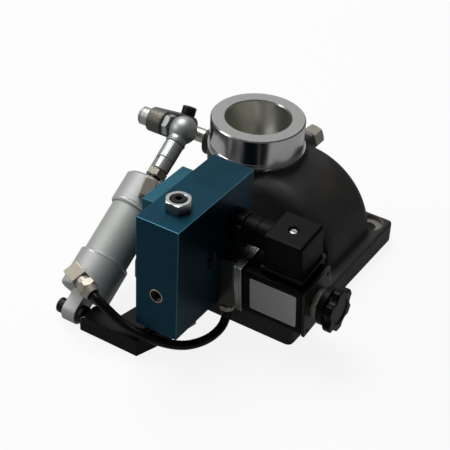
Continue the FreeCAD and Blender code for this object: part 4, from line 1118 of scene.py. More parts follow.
    def machined(self, spot: Vector, normal: Vector) -> bool:
        """Tells whether a face was machined after the casting was painted.

        Args:
            spot: its centre.
            normal: its normal.

        Returns:
            True for a machined face.
        """
        near = 0.05
        out, z = math.hypot(abs(spot.x) - self.bolt[0], abs(spot.y) - self.bolt[1]), spot.z
        flat = z < near or spot.x < self.boss_x + near or (abs(z - self.neck_top) < near and normal.z > 0.9)
        in_seat = out < self.seat_radius + self.seat_edge + near and z < self.thickness + 0.5
        in_seat = in_seat and (out < self.seat_radius - 0.1 or abs(normal.z) < 0.9)
        aside = math.hypot(spot.x - self.tapping[0], z - self.tapping[2])
        at_tapping = aside < self.tapping_radius + 0.5 and spot.y > self.tapping[1] - near
        in_liner = z > self.liner_z and math.hypot(spot.x - self.neck_x, spot.y) < self.liner + near
        return flat or in_seat or at_tapping or in_liner

    def duct(self) -> Solid:
        """Makes the tool for the air's way from the neck to the outlet.

        Returns:
            The tool.
        """
        steps = 96
        points: list[Vector] = []
        turns = [2 * math.pi * step / steps for step in range(steps)]
        rings = ((0, self.outlet, -9), (0, self.outlet, 10), (self.neck_x, self.bore, self.liner_z + 1))
        for x, radius, z in rings:
            points += [Vector((x + radius * math.cos(a), radius * math.sin(a), z)) for a in turns]
        faces: list[Sequence[int]] = [tuple(range(steps)), tuple(range(2 * steps, 3 * steps))]
        for ring in (0, steps):
            for step in range(steps):
                after = (step + 1) % steps
                faces.append((ring + step, ring + after, ring + steps + after, ring + steps + step))
        return Solid(points, faces)

    def collar(self) -> None:
        """The turned inlet collar with its liner."""
        top, low, rim = self.collar_top, self.neck_top, self.collar_rim
        liner, wide = self.liner - 0.05, rim + self.shoulder
        profile = [
            (self.liner_z, self.bore), (self.liner_z, liner), (low, liner), (low, wide),
            (low + 1.6, wide), (low + 1.6, rim), (low + 3.2, rim), (low + 3.5, rim - 0.3), (low + 3.8, rim),
            (top - 0.8, rim), (top, rim - 0.8), (top, self.bore + 0.8), (top - 0.8, self.bore),
        ]
        collar = Solid.turned(profile, Vector((self.neck_x, 0, 0)), Z, 160)
        collar.cut(Solid.rod(self.shaft_hole, self.on_shaft(-70), self.on_shaft(20), 48))
        collar.bevel(0.25, 2).paint(1, self.on_top).paint(2, self.in_bore)
        finishes = [TURNED_ALUMINIUM, FACED_ALUMINIUM, BORED_ALUMINIUM]
        collar.place("inlet_collar_turned", "frame", finishes, ["inlet_collar"])

    def on_top(self, spot: Vector, normal: Vector) -> bool:
        """Whether a face lies on the collar's faced top."""
        return normal.z > 0.95 and spot.z > self.neck_top + 5

    def in_bore(self, spot: Vector, normal: Vector) -> bool:
        """Whether a face lies in the collar's bore."""
        return math.hypot(spot.x - self.neck_x, spot.y) < self.bore + 0.3

    def fitting(self) -> None:
        """The hexagon connector in the pressure tapping."""
        start = Vector(self.tapping)
        neck, length = self.fitting_neck, self.fitting_length
        profile = [(-9, 0)] + threaded(self.tapping_thread - 0.05, -8.6, 0)
        profile += [(0, 6.0), (neck, 6.0), (neck, 0)]
        fitting = Solid.turned(profile, start, Y)
        fitting.join(Solid.hexagon(self.fitting_flats, start + Y * neck, Y * length, self.fitting_turn, 0.8))
        fitting.cut(Solid.bore(self.fitting_bore, start + Y * (neck + length), Y * -26, 0.8))
        fitting.bevel(0.2, 2, 40).place("tapping_nickel", "frame", [NICKEL], ["tapping_fitting"], 20)


@dataclass
class ThrottleGear:
    """The lever on the throttle shaft, with its clamping screw, ball stud and lock nut."""

    inner_x: float = -78.4
    thickness: float = 11.5
    shaft_z: float = 61.6
    ball: tuple[float, float, float] = (-64.6, -30.287, 82.415)
    hub: float = 9.8
    eye: float = 8.4
    screw_turn: float = 62.0
    skin: float = 0.45
    skin_passes: int = 5
    shaft: float = 5.02
    head: float = 5.0
    head_height: float = 6.0
    screw_key: float = 5.0
    stud_end: float = -99.0
    stud_flats: float = 13.0
    stud_turn: float = 10.0
    stud_collar: float = 4.5
    stud_neck: float = 3.0
    ball_radius: float = 5.0
    nut_radius: float = 6.2

    def build(self) -> None:
        """Builds the lever and what is fixed to it."""
        self.lever()
        self.clamp_screw()
        self.stud()
        self.lock_nut()

    def at(self, x: float, eye: bool = False) -> Vector:
        """A point on the hub's axis, or on the eye's, at an X."""
        return Vector((x, self.ball[1], self.ball[2])) if eye else Vector((x, 0.0, self.shaft_z))

    def screw_way(self) -> Vector:
        """The unit vector along the clamping screw, out of the hub."""
        return Vector((0, math.cos(math.radians(self.screw_turn)), math.sin(math.radians(self.screw_turn))))

    def lever(self) -> None:
        """The cast lever: a hub, an eye and the web between them, with machined holes."""
        outer_x = self.inner_x - self.thickness
        hub, eye, way = self.at(outer_x), self.at(outer_x, True), X * self.thickness
        span = eye - hub
        lean, base = math.asin((self.hub - self.eye) / span.length), math.atan2(span.z, span.y)
        outline = []
        ends = ((hub, self.hub, 1), (eye, self.eye, 1), (eye, self.eye, -1), (hub, self.hub, -1))
        for centre, radius, sign in ends:
            angle = base + sign * (math.pi / 2 - lean)
            outline.append(centre + Vector((0, math.cos(angle), math.sin(angle))) * radius)
        lever = Solid.prism(outline, way)
        lever.join(Solid.rod(self.hub, hub, hub + way), Solid.rod(self.eye, eye, eye + way))
        lever.soften(self.skin, self.skin_passes)
        seat = self.at(outer_x + self.thickness / 2) + self.screw_way() * self.hub
        lever.cut(
            Solid.rod(self.head + 0.05, seat, seat + self.screw_way() * 8, 48, 1),
            Solid.rod(self.shaft, hub - X * 5, hub + way + X * 5, 64, 1),
            Solid.rod(M8.hole, eye - X * 5, eye + way + X * 5, 48, 1),
        )
        lever.place("lever_cast", "throttle", [CAST_LEVER, DARK_NICKEL], ["throttle_lever"])

    def clamp_screw(self) -> None:
        """The socket-head screw that fixes the lever on the shaft."""
        way = self.screw_way()
        seat = self.at(self.inner_x - self.thickness / 2) + way * self.hub
        head, top = self.head, self.head_height
        profile = [(-7.2, 0), (-7.2, M6.screw), (0, M6.screw), (0, head)]
        profile += [(top - 0.4, head), (top, head - 0.4), (top, 0)]
        screw = Solid.turned(profile, seat, way)
        screw.cut(Solid.hexagon(self.screw_key, seat + way * 3.0, way * 4, 0.0, 0.0))
        screw.bevel(0.2, 2).place("clamp_screw_black", "throttle", [BLACK_STEEL], ["lever_screw"])

    def stud(self) -> None:
        """The ball stud: thread, hexagon, neck and ball in one piece."""
        end, seat, ball = self.at(self.stud_end, True), self.at(self.inner_x, True), Vector(self.ball)
        length = (seat - end).length
        profile = [(0, 0), (0, 3.0), (0.6, 3.6)] + threaded(M8.screw, 0.7, length) + [(length, 0)]
        stud = Solid.turned(profile, end, X)
        stud.join(Solid.hexagon(self.stud_flats, seat, X * self.stud_collar, self.stud_turn, 0.7))
        neck = Solid.rod(self.stud_neck, seat + X * (self.stud_collar - 0.5), ball - X * 3, 48)
        stud.join(neck, Solid.ball(self.ball_radius, ball, X))
        stud.bevel(0.15, 1, 40).place("ball_stud_zinc", "throttle", [ZINC], ["ball_stud"], 20)

    def lock_nut(self) -> None:
        """The round lock nut behind the lever."""
        seat = self.at(self.inner_x - self.thickness, True)
        out = self.nut_radius
        profile = [(0, M8.hole), (0, out), (5.9, out), (6.2, out - 0.3), (6.5, out), (7.3, out)]
        profile += [(8.5, out - 1.2), (8.5, 4.6), (7.9, M8.hole)]
        nut = Solid.turned(profile, seat, -X)
        nut.bevel(0.15, 2).place("lock_nut_zinc", "throttle", [ZINC], ["stud_lock_nut"])


@dataclass
class RodEnd:
    """The ball socket, its clip, the jam nut and the piston rod."""

    line: RodLine = field(default_factory=RodLine)
    head: float = 9.5
    cavity: float = 7.9
    mouth: float = 6.3
    face: float = 6.5
    shank: float = 6.5
    shank_end: float = 33.5
    clip: float = 10.6
    clip_wire: float = 0.63
    clip_turn: float = 320.0
    wrench: float = 11.0
    nut_flats: float = 13.0
    nut_height: float = 5.0
    rod_start: float = 26.4
    thread_start: float = 101.0

    def build(self) -> None:
        """Builds the socket, clip, nut and rod."""
        self.socket()
        self.nut()
        self.rod()

    def socket(self) -> None:
        """The socket with its shank and wire clip."""
        line, ball = self.line, self.line.point(self.line.ball)
        way = line.way
        end, long, out = line.ball - self.shank_end, self.shank_end, self.shank
        profile = [
            (0, 0), (0, 5.4), (0.8, 6.2), (0.8, out), (8.5, out), (9.0, out - 0.5), (9.6, out),
            (21.6, out), (22.0, 5.8), (23.6, 5.8), (24.0, out), (long, out), (long, 0),
        ]
        shank = Solid.turned(profile, line.point(end), way, 96)
        for side in (-1, 1):
            flat = Solid.box((-3, -15, -0.5), (3, 15, 8.5))
            aside = Matrix.Translation(Vector((side * (self.wrench / 2 + 3), 0, 0)))
            flat.move(line.placement(end, 50) @ aside)
            shank.cut(flat)
        shank.join(Solid.ball(self.head, ball, X, 64))
        low, high = ball - Vector((20, 20, 20)), ball + Vector((-self.face, 20, 20))
        shank.cut(
            Solid.box(low, high),
            Solid.ball(self.cavity, ball, X, 48),
            Solid.bore(self.mouth, ball - X * self.face, X * 6.0, 0.5),
            Solid.bore(M8.hole, line.point(end), way * 19.5, 0.5),
        )
        shank.bevel(0.25, 2).place("ball_socket_zinc", "rod", [ZINC], ["ball_socket"])
        clip = Solid.hoop(out, self.clip_wire, self.clip_turn, line.placement(line.ball - self.clip, 110))
        clip.place("clip_wire", "rod", [ZINC], ["safety_clip"])

    def nut(self) -> None:
        """The jam nut against the shank."""
        line, way, end = self.line, self.line.way, self.line.ball - self.shank_end - 0.2
        near, far = line.point(end - self.nut_height), line.point(end)
        nut = Solid.hexagon(self.nut_flats, near, way * self.nut_height, 0.0, 0.8)
        nut.cut(Solid.bore(M8.hole, near, way * 7, 0.5), Solid.bore(M8.hole, far, way * -7, 0.5))
        nut.bevel(0.15, 1, 40).place("jam_nut_nickel", "rod", [DARK_NICKEL], ["rod_jam_nut"], 20)

    def rod(self) -> None:
        """The piston rod with its threaded end."""
        start, thread, tip = self.rod_start, self.thread_start, self.line.ball - 14.5
        profile = [(start, 0), (start, M8.screw), (thread, M8.screw)]
        profile += threaded(M8.screw, thread + 0.2, tip - 0.5) + [(tip, 3.2), (tip, 0)]
        rod = Solid.turned(profile, self.line.point(0), self.line.way, 48)
        rod.place("rod_ground", "rod", [GROUND_STEEL], ["piston_rod"])


@dataclass
class AirCylinder:
    """The air cylinder's shell: tube, caps, the rear elbow with its hose nut, and the front vent."""

    line: RodLine = field(default_factory=RodLine)
    cap: float = 17.0
    tube: float = 15.2
    bore: float = 12.5
    rear_start: float = 12.0
    rear_end: float = 38.3
    tube_start: float = 24.9
    tube_end: float = 87.2
    front_start: float = 75.2
    front_end: float = 97.7
    rear_port: float = 17.0
    rear_turn: float = 1.2
    front_turn: float = 28.5
    elbow_side: float = 10.5
    elbow_top: float = 27.0
    elbow_turn: float = -23.0
    neck: float = 4.2
    nut: float = 5.0
    sleeve: float = 4.4
    vent_side: float = 8.4
    vent_length: float = 12.4
    vent_turn: float = 10.0
    vent_rise: float = 4.0
    tongue_radius: float = 7.4
    tongue_half: float = 5.0
    seal_bore: float = 7.0
    rod_bore: float = 4.15
    neck_radius: float = 4.6
    nut_flats: float = 12.0
    nut_turn: float = 15.0
    hose_gap: float = 3.75

    def build(self) -> None:
        """Builds the tube, both caps and their fittings."""
        line = self.line
        tube = Solid.tube(self.tube, self.bore, line.point(self.tube_start), line.point(self.tube_end), 128)
        tube.place("tube_anodised", "cylinder", [ANODISED_TUBE], ["cylinder_tube"])
        self.rear_cap()
        self.front_cap()
        self.rear_elbow()
        self.front_vent()

    def rear_cap(self) -> None:
        """The rear cap with its tongue and its air port."""
        line, start, end, rim = self.line, self.rear_start, self.rear_end, self.cap
        bore = self.tube + 0.05
        profile = [
            (start, 0), (start, rim - 0.8), (start + 0.8, rim), (end - 2.4, rim), (end - 2.1, rim - 0.3),
            (end - 1.8, rim), (end - 0.8, rim), (end, rim - 0.8), (end, bore), (self.tube_start, bore),
            (self.tube_start, 0),
        ]
        # The outer chamfers take slot 1, the painted highlight.
        cap = Solid.turned(profile, line.pivot, line.way, 128).paint(1, self.on_rim)
        turns = [math.radians(90 + 10 * step) for step in range(19)]
        out, aside = self.tongue_radius, X * self.tongue_half
        outline = [line.point(out * math.cos(a), out * math.sin(a)) - aside for a in turns]
        outline += [line.point(start + 1.0, -out) - aside, line.point(start + 1.0, out) - aside]
        cap.join(Solid.prism(outline, aside * 2).bevel(0.35, 2))
        port = line.point(self.rear_port, rim, self.rear_turn)
        cap.cut(
            Solid.rod(M8.hole, line.pivot - X * 20, line.pivot + X * 20, 48),
            Solid.bore(M8.hole, port, line.stem(self.rear_turn) * -rim, 0.4),
        )
        cap.place("rear_cap_anodised", "cylinder", [CLEAR_ANODISED, ANODISED_EDGE_HIGHLIGHT], ["rear_cap"])

    def front_cap(self) -> None:
        """The front cap, bored for the rod and its seal."""
        line, start, end, rim = self.line, self.front_start, self.front_end, self.cap
        seal, wide, narrow, bore = end - 4.5, self.seal_bore, self.rod_bore, self.tube + 0.05
        profile = [
            (start, bore), (start, rim - 0.8), (start + 0.8, rim), (start + 1.8, rim),
            (start + 2.1, rim - 0.3), (start + 2.4, rim), (end - 1.4, rim), (end, rim - 1.4),
            (end, narrow), (end - 1.5, narrow),
            (end - 1.5, wide), (seal, wide), (seal, narrow), (self.tube_end, narrow), (self.tube_end, bore),
        ]
        # The outer chamfers take slot 1, the painted highlight.
        cap = Solid.turned(profile, line.pivot, line.way, 128).paint(1, self.on_rim)
        vent = line.point(self.vent_place(), rim, self.front_turn)
        cap.cut(Solid.bore(2.5, vent, line.stem(self.front_turn) * -5.4, 0.3))
        cap.place("front_cap_anodised", "cylinder", [CLEAR_ANODISED, ANODISED_EDGE_HIGHLIGHT], ["front_cap"])

    def on_rim(self, spot: Vector, normal: Vector) -> bool:
        """Tells whether a face lies on a cap's turned outer chamfer.

        Args:
            spot: its centre.
            normal: its normal.

        Returns:
            True for a face of the chamfer.
        """
        arm = spot - self.line.pivot
        out = (arm - self.line.way * arm.dot(self.line.way)).length
        return out > self.cap - 0.85 and 0.3 < abs(normal.dot(self.line.way)) < 0.95

    def vent_place(self) -> float:
        """The vent's distance from the pivot."""
        return self.tube_end + 2.8

    def fitting(self, centre: Vector, along: Vector, up: Vector, length: float, side: float) -> Solid:
        """Makes a square block that sits on a cap.

        Args:
            centre: its middle.
            along: the direction of its length.
            up: the direction of its top.
            length: its length.
            side: its width and height.

        Returns:
            The block.
        """
        half, flank = length / 2, side / 2
        block = Solid.box((-half, -flank, -flank), (half, flank, flank)).bevel(0.55, 2)
        turn = Matrix((along, up.cross(along), up)).transposed().to_4x4()
        block.move(Matrix.Translation(centre) @ turn)
        return block.cut(Solid.rod(self.cap + 0.3, self.line.pivot, self.line.point(self.line.ball), 128))

    def elbow(self) -> tuple[Vector, Vector]:
        """Works out where the rear elbow stands.

        Returns:
            Its middle, and the unit vector of the hose where it leaves.
        """
        stem = self.line.stem(self.rear_turn)
        centre = self.line.point(self.rear_port, self.elbow_top - self.elbow_side / 2, self.rear_turn)
        exit_way = Matrix.Rotation(math.radians(self.elbow_turn), 3, stem) @ self.line.way.cross(stem)
        return centre, exit_way

    def rear_elbow(self) -> None:
        """The angle fitting in the rear cap, with its hose nut."""
        stem = self.line.stem(self.rear_turn)
        centre, way = self.elbow()
        side = self.elbow_side
        elbow = self.fitting(centre, way, stem, side, side)
        rim = [(0, 0), (0, 3.9), (0.3, 4.2), (0.8, 4.2), (0.8, 0)]
        elbow.join(
            Solid.rod(M8.screw, self.line.point(self.rear_port, 6, self.rear_turn), centre, 48),
            Solid.rod(self.neck_radius, centre, centre + way * (side / 2 + self.neck), 64),
            Solid.turned(rim, centre + stem * (side / 2 - 0.8), stem, 48),
        )
        elbow.cut(Solid.rod(1.8, centre, centre + way * 30, 32))
        elbow.bevel(0.15, 1, 50).place("elbow_nickel", "cylinder", [NICKEL], ["rear_elbow"], 20)
        start = centre + way * (side / 2 + self.neck)
        nut = Solid.hexagon(self.nut_flats, start, way * self.nut, self.nut_turn, 0.8)
        wide, end = self.nut_flats / 2 - 0.1, self.sleeve
        sleeve = [(-0.5, 0), (-0.5, wide), (0, wide), (end - 0.2, 4.7), (end, 4.4), (end, 0)]
        nut.join(Solid.turned(sleeve, start + way * self.nut, way, 64))
        nut.cut(Solid.rod(self.hose_gap, start - way, start + way * 12, 48))
        nut.bevel(0.15, 1, 40).place("hose_nut_nickel", "cylinder", [NICKEL], ["rear_elbow_nut"], 20)

    def front_vent(self) -> None:
        """The vent elbow on the front cap."""
        up = self.line.stem(self.front_turn)
        base = self.line.point(self.vent_place(), self.cap + self.vent_rise, self.front_turn)
        along = Matrix.Rotation(math.radians(self.vent_turn), 3, up) @ self.line.way
        centre = base - along * (self.vent_length / 2 - self.vent_side / 2)
        vent = self.fitting(centre, along, up, self.vent_length, self.vent_side)
        vent.join(Solid.rod(2.45, self.line.point(self.vent_place(), self.bore, self.front_turn), base, 32))
        tail = centre - along * (self.vent_length / 2)
        vent.cut(Solid.bore(1.6, tail, along * 4.0, 0.4, steps=32))
        vent.place("vent_nickel", "cylinder", [NICKEL], ["front_vent"], 20)


@dataclass
class Bracket:
    """The bracket that carries the cylinder, with its screws."""

    thickness: float = 12.4
    left_x: float = -56.0
    corner: float = 4.5
    pivot_y: float = -150.2
    pivot_z: float = 7.6
    stop: tuple[float, float] = (-13.5, -142.5)
    outline: tuple[tuple[float, float], ...] = (
        (-56.0, -156.0), (-12.0, -156.0), (-1.0, -124.0), (-1.0, -92.8), (-25.0, -92.8), (-35.0, -142.5),
        (-56.0, -142.5),
    )
    tongue_low: tuple[float, float, float] = (-25.0, -93.5, 0.02)
    tongue_high: tuple[float, float, float] = (-1.0, -66.0, 6.0)
    countersink: float = 7.05
    shoulder: float = 13.9
    head: float = 5.0
    head_height: float = 6.0
    washer: tuple[float, float] = (6.0, 3.3)

    def build(self) -> None:
        """Builds the bracket, the pivot's screw and washer, and the clamping and stop screws."""
        plate = Solid.prism([Vector((x, y, 0)) for x, y in self.outline], Z * self.thickness)
        bend = self.corner
        left, top = self.left_x, self.thickness
        side = [(left - 9, top + 9), (left - 9, top - bend - 0.2)]
        turns = [math.radians(9 * step) for step in range(11)]
        side += [(left + bend * (1 - math.cos(a)), top - bend * (1 - math.sin(a))) for a in turns]
        side += [(left + bend + 0.2, top + 9)]
        plate.cut(Solid.prism([Vector((x, -170, z)) for x, z in side], Y * 40))
        # The near edge of the rounded end takes slot 1, a painted highlight on the worn rim.
        plate.bevel(0.5, 2, 40).paint(1, self.on_end)
        plate.join(Solid.box(self.tongue_low, self.tongue_high))
        sink = [(-1, 0), (-1, self.countersink), (3.05, M6.hole), (20, M6.hole), (20, 0)]
        for y in CLAMP_Y:
            plate.cut(Solid.turned(sink, Vector((CLAMP_X, y, 0)), Z, 48))
        pivot = Vector((self.left_x, self.pivot_y, self.pivot_z))
        stop = Vector((*self.stop, self.thickness))
        plate.cut(Solid.bore(M6.hole, pivot, X * 13.5, 0.5), Solid.bore(M6.hole, stop, Z * -20, 0.5))
        plate.place("bracket_dark", "frame", [BRACKET_STEEL, BRACKET_EDGE_HIGHLIGHT], ["cylinder_bracket"])
        self.screws(pivot, stop)

    def on_end(self, spot: Vector, normal: Vector) -> bool:
        """Whether a face lies on the worn near edge of the left end, which takes a painted highlight."""
        return spot.x < self.left_x + self.corner + 0.5 and -0.95 < normal.y < -0.3

    def screws(self, pivot: Vector, stop: Vector) -> None:
        """Builds the pivot's screw and washer, the stop screw and the clamping screws.

        Args:
            pivot: where the pivot's axis meets the bracket's end.
            stop: where the stop screw's axis meets its top.
        """
        long, head, high = self.shoulder, X * -self.shoulder, self.head_height
        wide = self.head
        profile = [(-high, 0), (-high, wide - 0.5), (0.5 - high, wide), (0, wide), (0, M8.screw)]
        profile += [(long, M8.screw), (long, M6.screw), (long + 13, M6.screw), (long + 13, 0)]
        screw = Solid.turned(profile, pivot + head, X)
        screw.cut(Solid.hexagon(5.0, pivot + head - X * 7, X * 4, 0.0, 0.0))
        screw.bevel(0.2, 2).place("pivot_screw_black", "frame", [BLACK_STEEL], ["pivot_screw"])
        out, thick = self.washer
        washer = Solid.tube(out, M8.hole, pivot - X * thick, pivot, 64).bevel(0.25, 2)
        washer.place("pivot_washer_steel", "frame", [BLACK_STEEL], ["pivot_washer"])
        profile = [(-7.5, 0), (-7.5, M6.screw), (0, M6.screw), (0, 4.0), (2.9, 4.0), (3.2, 3.7), (3.2, 0)]
        stopper = Solid.turned(profile, stop, Z, 48)
        stopper.cut(Solid.hexagon(4.0, stop + Z * 1.6, Z * 3, 0.0, 0.0))
        stopper.bevel(0.15, 2).place("stop_screw_black", "frame", [BLACK_STEEL], ["stop_screw"])
        bolts = []
        profile = [(0, 0), (0, 6.0), (3.0, M6.screw), (33.4, M6.screw), (33.4, 0)]
        for y in CLAMP_Y:
            bolt = Solid.turned(profile, Vector((CLAMP_X, y, 0)), Z, 48)
            bolt.cut(Solid.hexagon(4.0, Vector((CLAMP_X, y, -1)), Z * 3, 0.0, 0.0))
            bolts.append(bolt.bevel(0.15, 2))
        bolts[0].add(bolts[1]).place("clamp_bolts_black", "frame", [BLACK_STEEL], ["clamp_bolts"])


@dataclass
class ControlBlock:
    """The blue block with its adjuster, ports, plugs and cover plate."""

    low: tuple[float, float, float] = (-17.0, -150.0, 21.4)
    high: tuple[float, float, float] = (13.0, -67.6, 101.2)
    adjuster: tuple[float, float] = (-2.0, -128.3)
    port_z: float = 48.9
    side_plug: tuple[float, float] = (-114.6, 60.4)
    chamber: tuple[float, float] = (9.55, 64.8)
    port_bore: float = 4.75
    plug_bore: float = 5.25
    setting_depth: float = 16.0
    spacer_low: tuple[float, float, float] = (-15.0, -91.0, 14.7)
    spacer_high: tuple[float, float, float] = (11.0, -68.5, 21.4)
    nut_flats: float = 15.0
    nut_height: float = 6.3
    screw_rise: float = 6.7
    screw_length: float = 23.0
    plug_flats: float = 24.0
    plug_height: float = 5.0
    head: tuple[float, float] = (3.6, 2.4)
    plate_low: tuple[float, float, float] = (-24.6, -133.0, 57.7)
    plate_high: tuple[float, float, float] = (-16.8, -90.5, 101.35)

    def build(self) -> None:
        """Builds the block, its plate and its screws, nuts and plugs."""
        self.block()
        self.plate()
        self.adjusting()
        self.plugs()

    def screw_places(self) -> list[Vector]:
        """The plate's screws, on the block's back face."""
        low, high = self.plate_low, self.plate_high
        across, up = (low[1] + 6, high[1] - 6), (high[2] - 8, high[2] - 37)
        return [Vector((self.low[0], y, z)) for y in across for z in up]

    def block(self) -> None:
        """The anodised block with its bores."""
        # The bevels take slot 1, the painted edge highlight.
        block = Solid.box(self.low, self.high).bevel(0.4, 2, 32, 1)
        centre = Vector((*self.adjuster, 0))
        port = Vector((self.adjuster[0], self.low[1], self.port_z))
        plug = Vector((self.high[0], *self.side_plug))
        # The bores take slot 2, the painted shade.
        tools = [
            Solid.bore(self.chamber[0], centre + Z * self.low[2], Z * self.chamber[1], 0.5, 2),
            Solid.bore(SETTING_THREAD.hole, centre + Z * self.high[2], Z * -self.setting_depth, 0.5, 2),
            Solid.bore(self.port_bore, port, Y * 8.0, 0.3, 2),
            Solid.rod(2.2, port, port + Y * 14, 32, 2),
            Solid.bore(self.plug_bore, plug, X * -4.6, 0.4, 2),
        ]
        tools += [Solid.rod(M4.hole, spot - X * 2, spot + X * 4.5, 24, 2) for spot in self.screw_places()]
        for y in CLAMP_Y:
            tools.append(Solid.rod(M6.hole, Vector((CLAMP_X, y, 20)), Vector((CLAMP_X, y, 35.4)), 32, 2))
        finishes = [BLUE_ANODISED, BLUE_EDGE_HIGHLIGHT, BLUE_BORE_SHADE]
        block.cut(*tools).place("block_blue", "frame", finishes, ["control_block"])
        spacer = Solid.box(self.spacer_low, self.spacer_high).bevel(0.3, 2)
        spacer.place("spacer_machined", "frame", [MACHINED], ["block_spacer"])

    def plate(self) -> None:
        """The cover plate and its four screws."""
        # The bevels and the screw seats take slot 1, the painted edge highlight.
        plate = Solid.box(self.plate_low, self.plate_high).bevel(0.2, 2, 32, 1)
        screws = []
        out, high = self.head
        profile = [(0, 0), (0, out - 0.3), (0.3, out), (high, out)]
        profile += [(high, M4.screw), (11.6, M4.screw), (11.6, 0)]
        for spot in self.screw_places():
            face = Vector((self.plate_low[0], spot.y, spot.z))
            seat = Solid.bore(out + 0.05, face, X * high, 0.3, 1)
            plate.cut(seat, Solid.rod(M4.hole, face - X, face + X * 9, 32))
            screw = Solid.turned(profile, face, X, 48)
            screws.append(screw.cut(Solid.hexagon(3.0, face - X, X * 2.6, 0.0, 0.0)).bevel(0.12, 1))
        # The plate's lighter blue is painted sheen.
        plate.place("plate_blue", "frame", [BLUE_PLATE_SHEEN, BLUE_EDGE_HIGHLIGHT], ["rear_plate"])
        screws[0].add(*screws[1:]).place("plate_screws_zinc", "frame", [ZINC], ["plate_screws"])

    def adjusting(self) -> None:
        """The pressure-setting screw and its lock nut."""
        seat = Vector((*self.adjuster, self.high[2]))
        nut = Solid.hexagon(self.nut_flats, seat, Z * self.nut_height, 2.0, 0.45)
        nut.cut(Solid.bore(SETTING_THREAD.hole, seat + Z * self.nut_height, Z * -8, 0.5))
        nut.bevel(0.2, 2, 40).place("adjuster_nut_zinc", "frame", [NUT_ZINC], ["adjuster_nut"], 20)
        top, length, out = seat + Z * self.screw_rise, self.screw_length, SETTING_THREAD.screw
        profile = [(-length, 0), (-length, 4.3)] + threaded(out, -length + 0.5, -0.3) + [(0, 4.4), (0, 0)]
        screw = Solid.turned(profile, top, Z, 48)
        screw.cut(Solid.hexagon(4.0, top - Z * 4, Z * 5, 20.0, 0.0))
        screw.place("adjuster_black", "adjuster", [BLACK_STEEL], ["adjuster_screw"])

    def plugs(self) -> None:
        """The chamber's plug, the front port's insert and the side plug."""
        low = Vector((*self.adjuster, self.low[2]))
        plug = Solid.hexagon(self.plug_flats, low - Z * self.plug_height, Z * self.plug_height, 10.0, 1.0)
        plug.join(Solid.tube(self.chamber[0] - 0.1, 6.5, low - Z * 1, low + Z * 9.5))
        plug.bevel(0.2, 1, 40).place("chamber_plug_zinc", "frame", [ZINC], ["chamber_plug"], 20)
        port = Vector((self.adjuster[0], self.low[1], self.port_z))
        profile = [(-0.2, 3.9), (-0.2, 4.5), (0.0, 4.7), (7.9, 4.7), (7.9, 3.4)]
        profile += [(along, 7.15 - out) for along, out in reversed(threaded(3.75, 0.8, 7.6, 0.9, 0.35))]
        # The thread and the faces behind the rim take slot 1, the painted shade.
        insert = Solid.turned(profile, port, Y, 64).paint(1, self.in_port)
        insert.place("port_insert_nickel", "frame", [NICKEL, BRONZE_PORT_SHADE], ["port_insert"])
        start = Vector((self.high[0] - 0.6, *self.side_plug))
        sunk = Solid.rod(self.plug_bore - 0.05, start - X * 4.0, start, 48)
        sunk.cut(Solid.hexagon(4.0, start - X * 2.5, X * 4, 0.0, 0.0))
        sunk.bevel(0.2, 2).place("side_plug_black", "frame", [BLACK_STEEL], ["side_plug"])

    def in_port(self, spot: Vector, normal: Vector) -> bool:
        """Whether a face lies in the front port's thread, or behind its rim."""
        out = math.hypot(spot.x - self.adjuster[0], spot.z - self.port_z)
        return spot.y > self.low[1] + 0.05 or out < 4.0


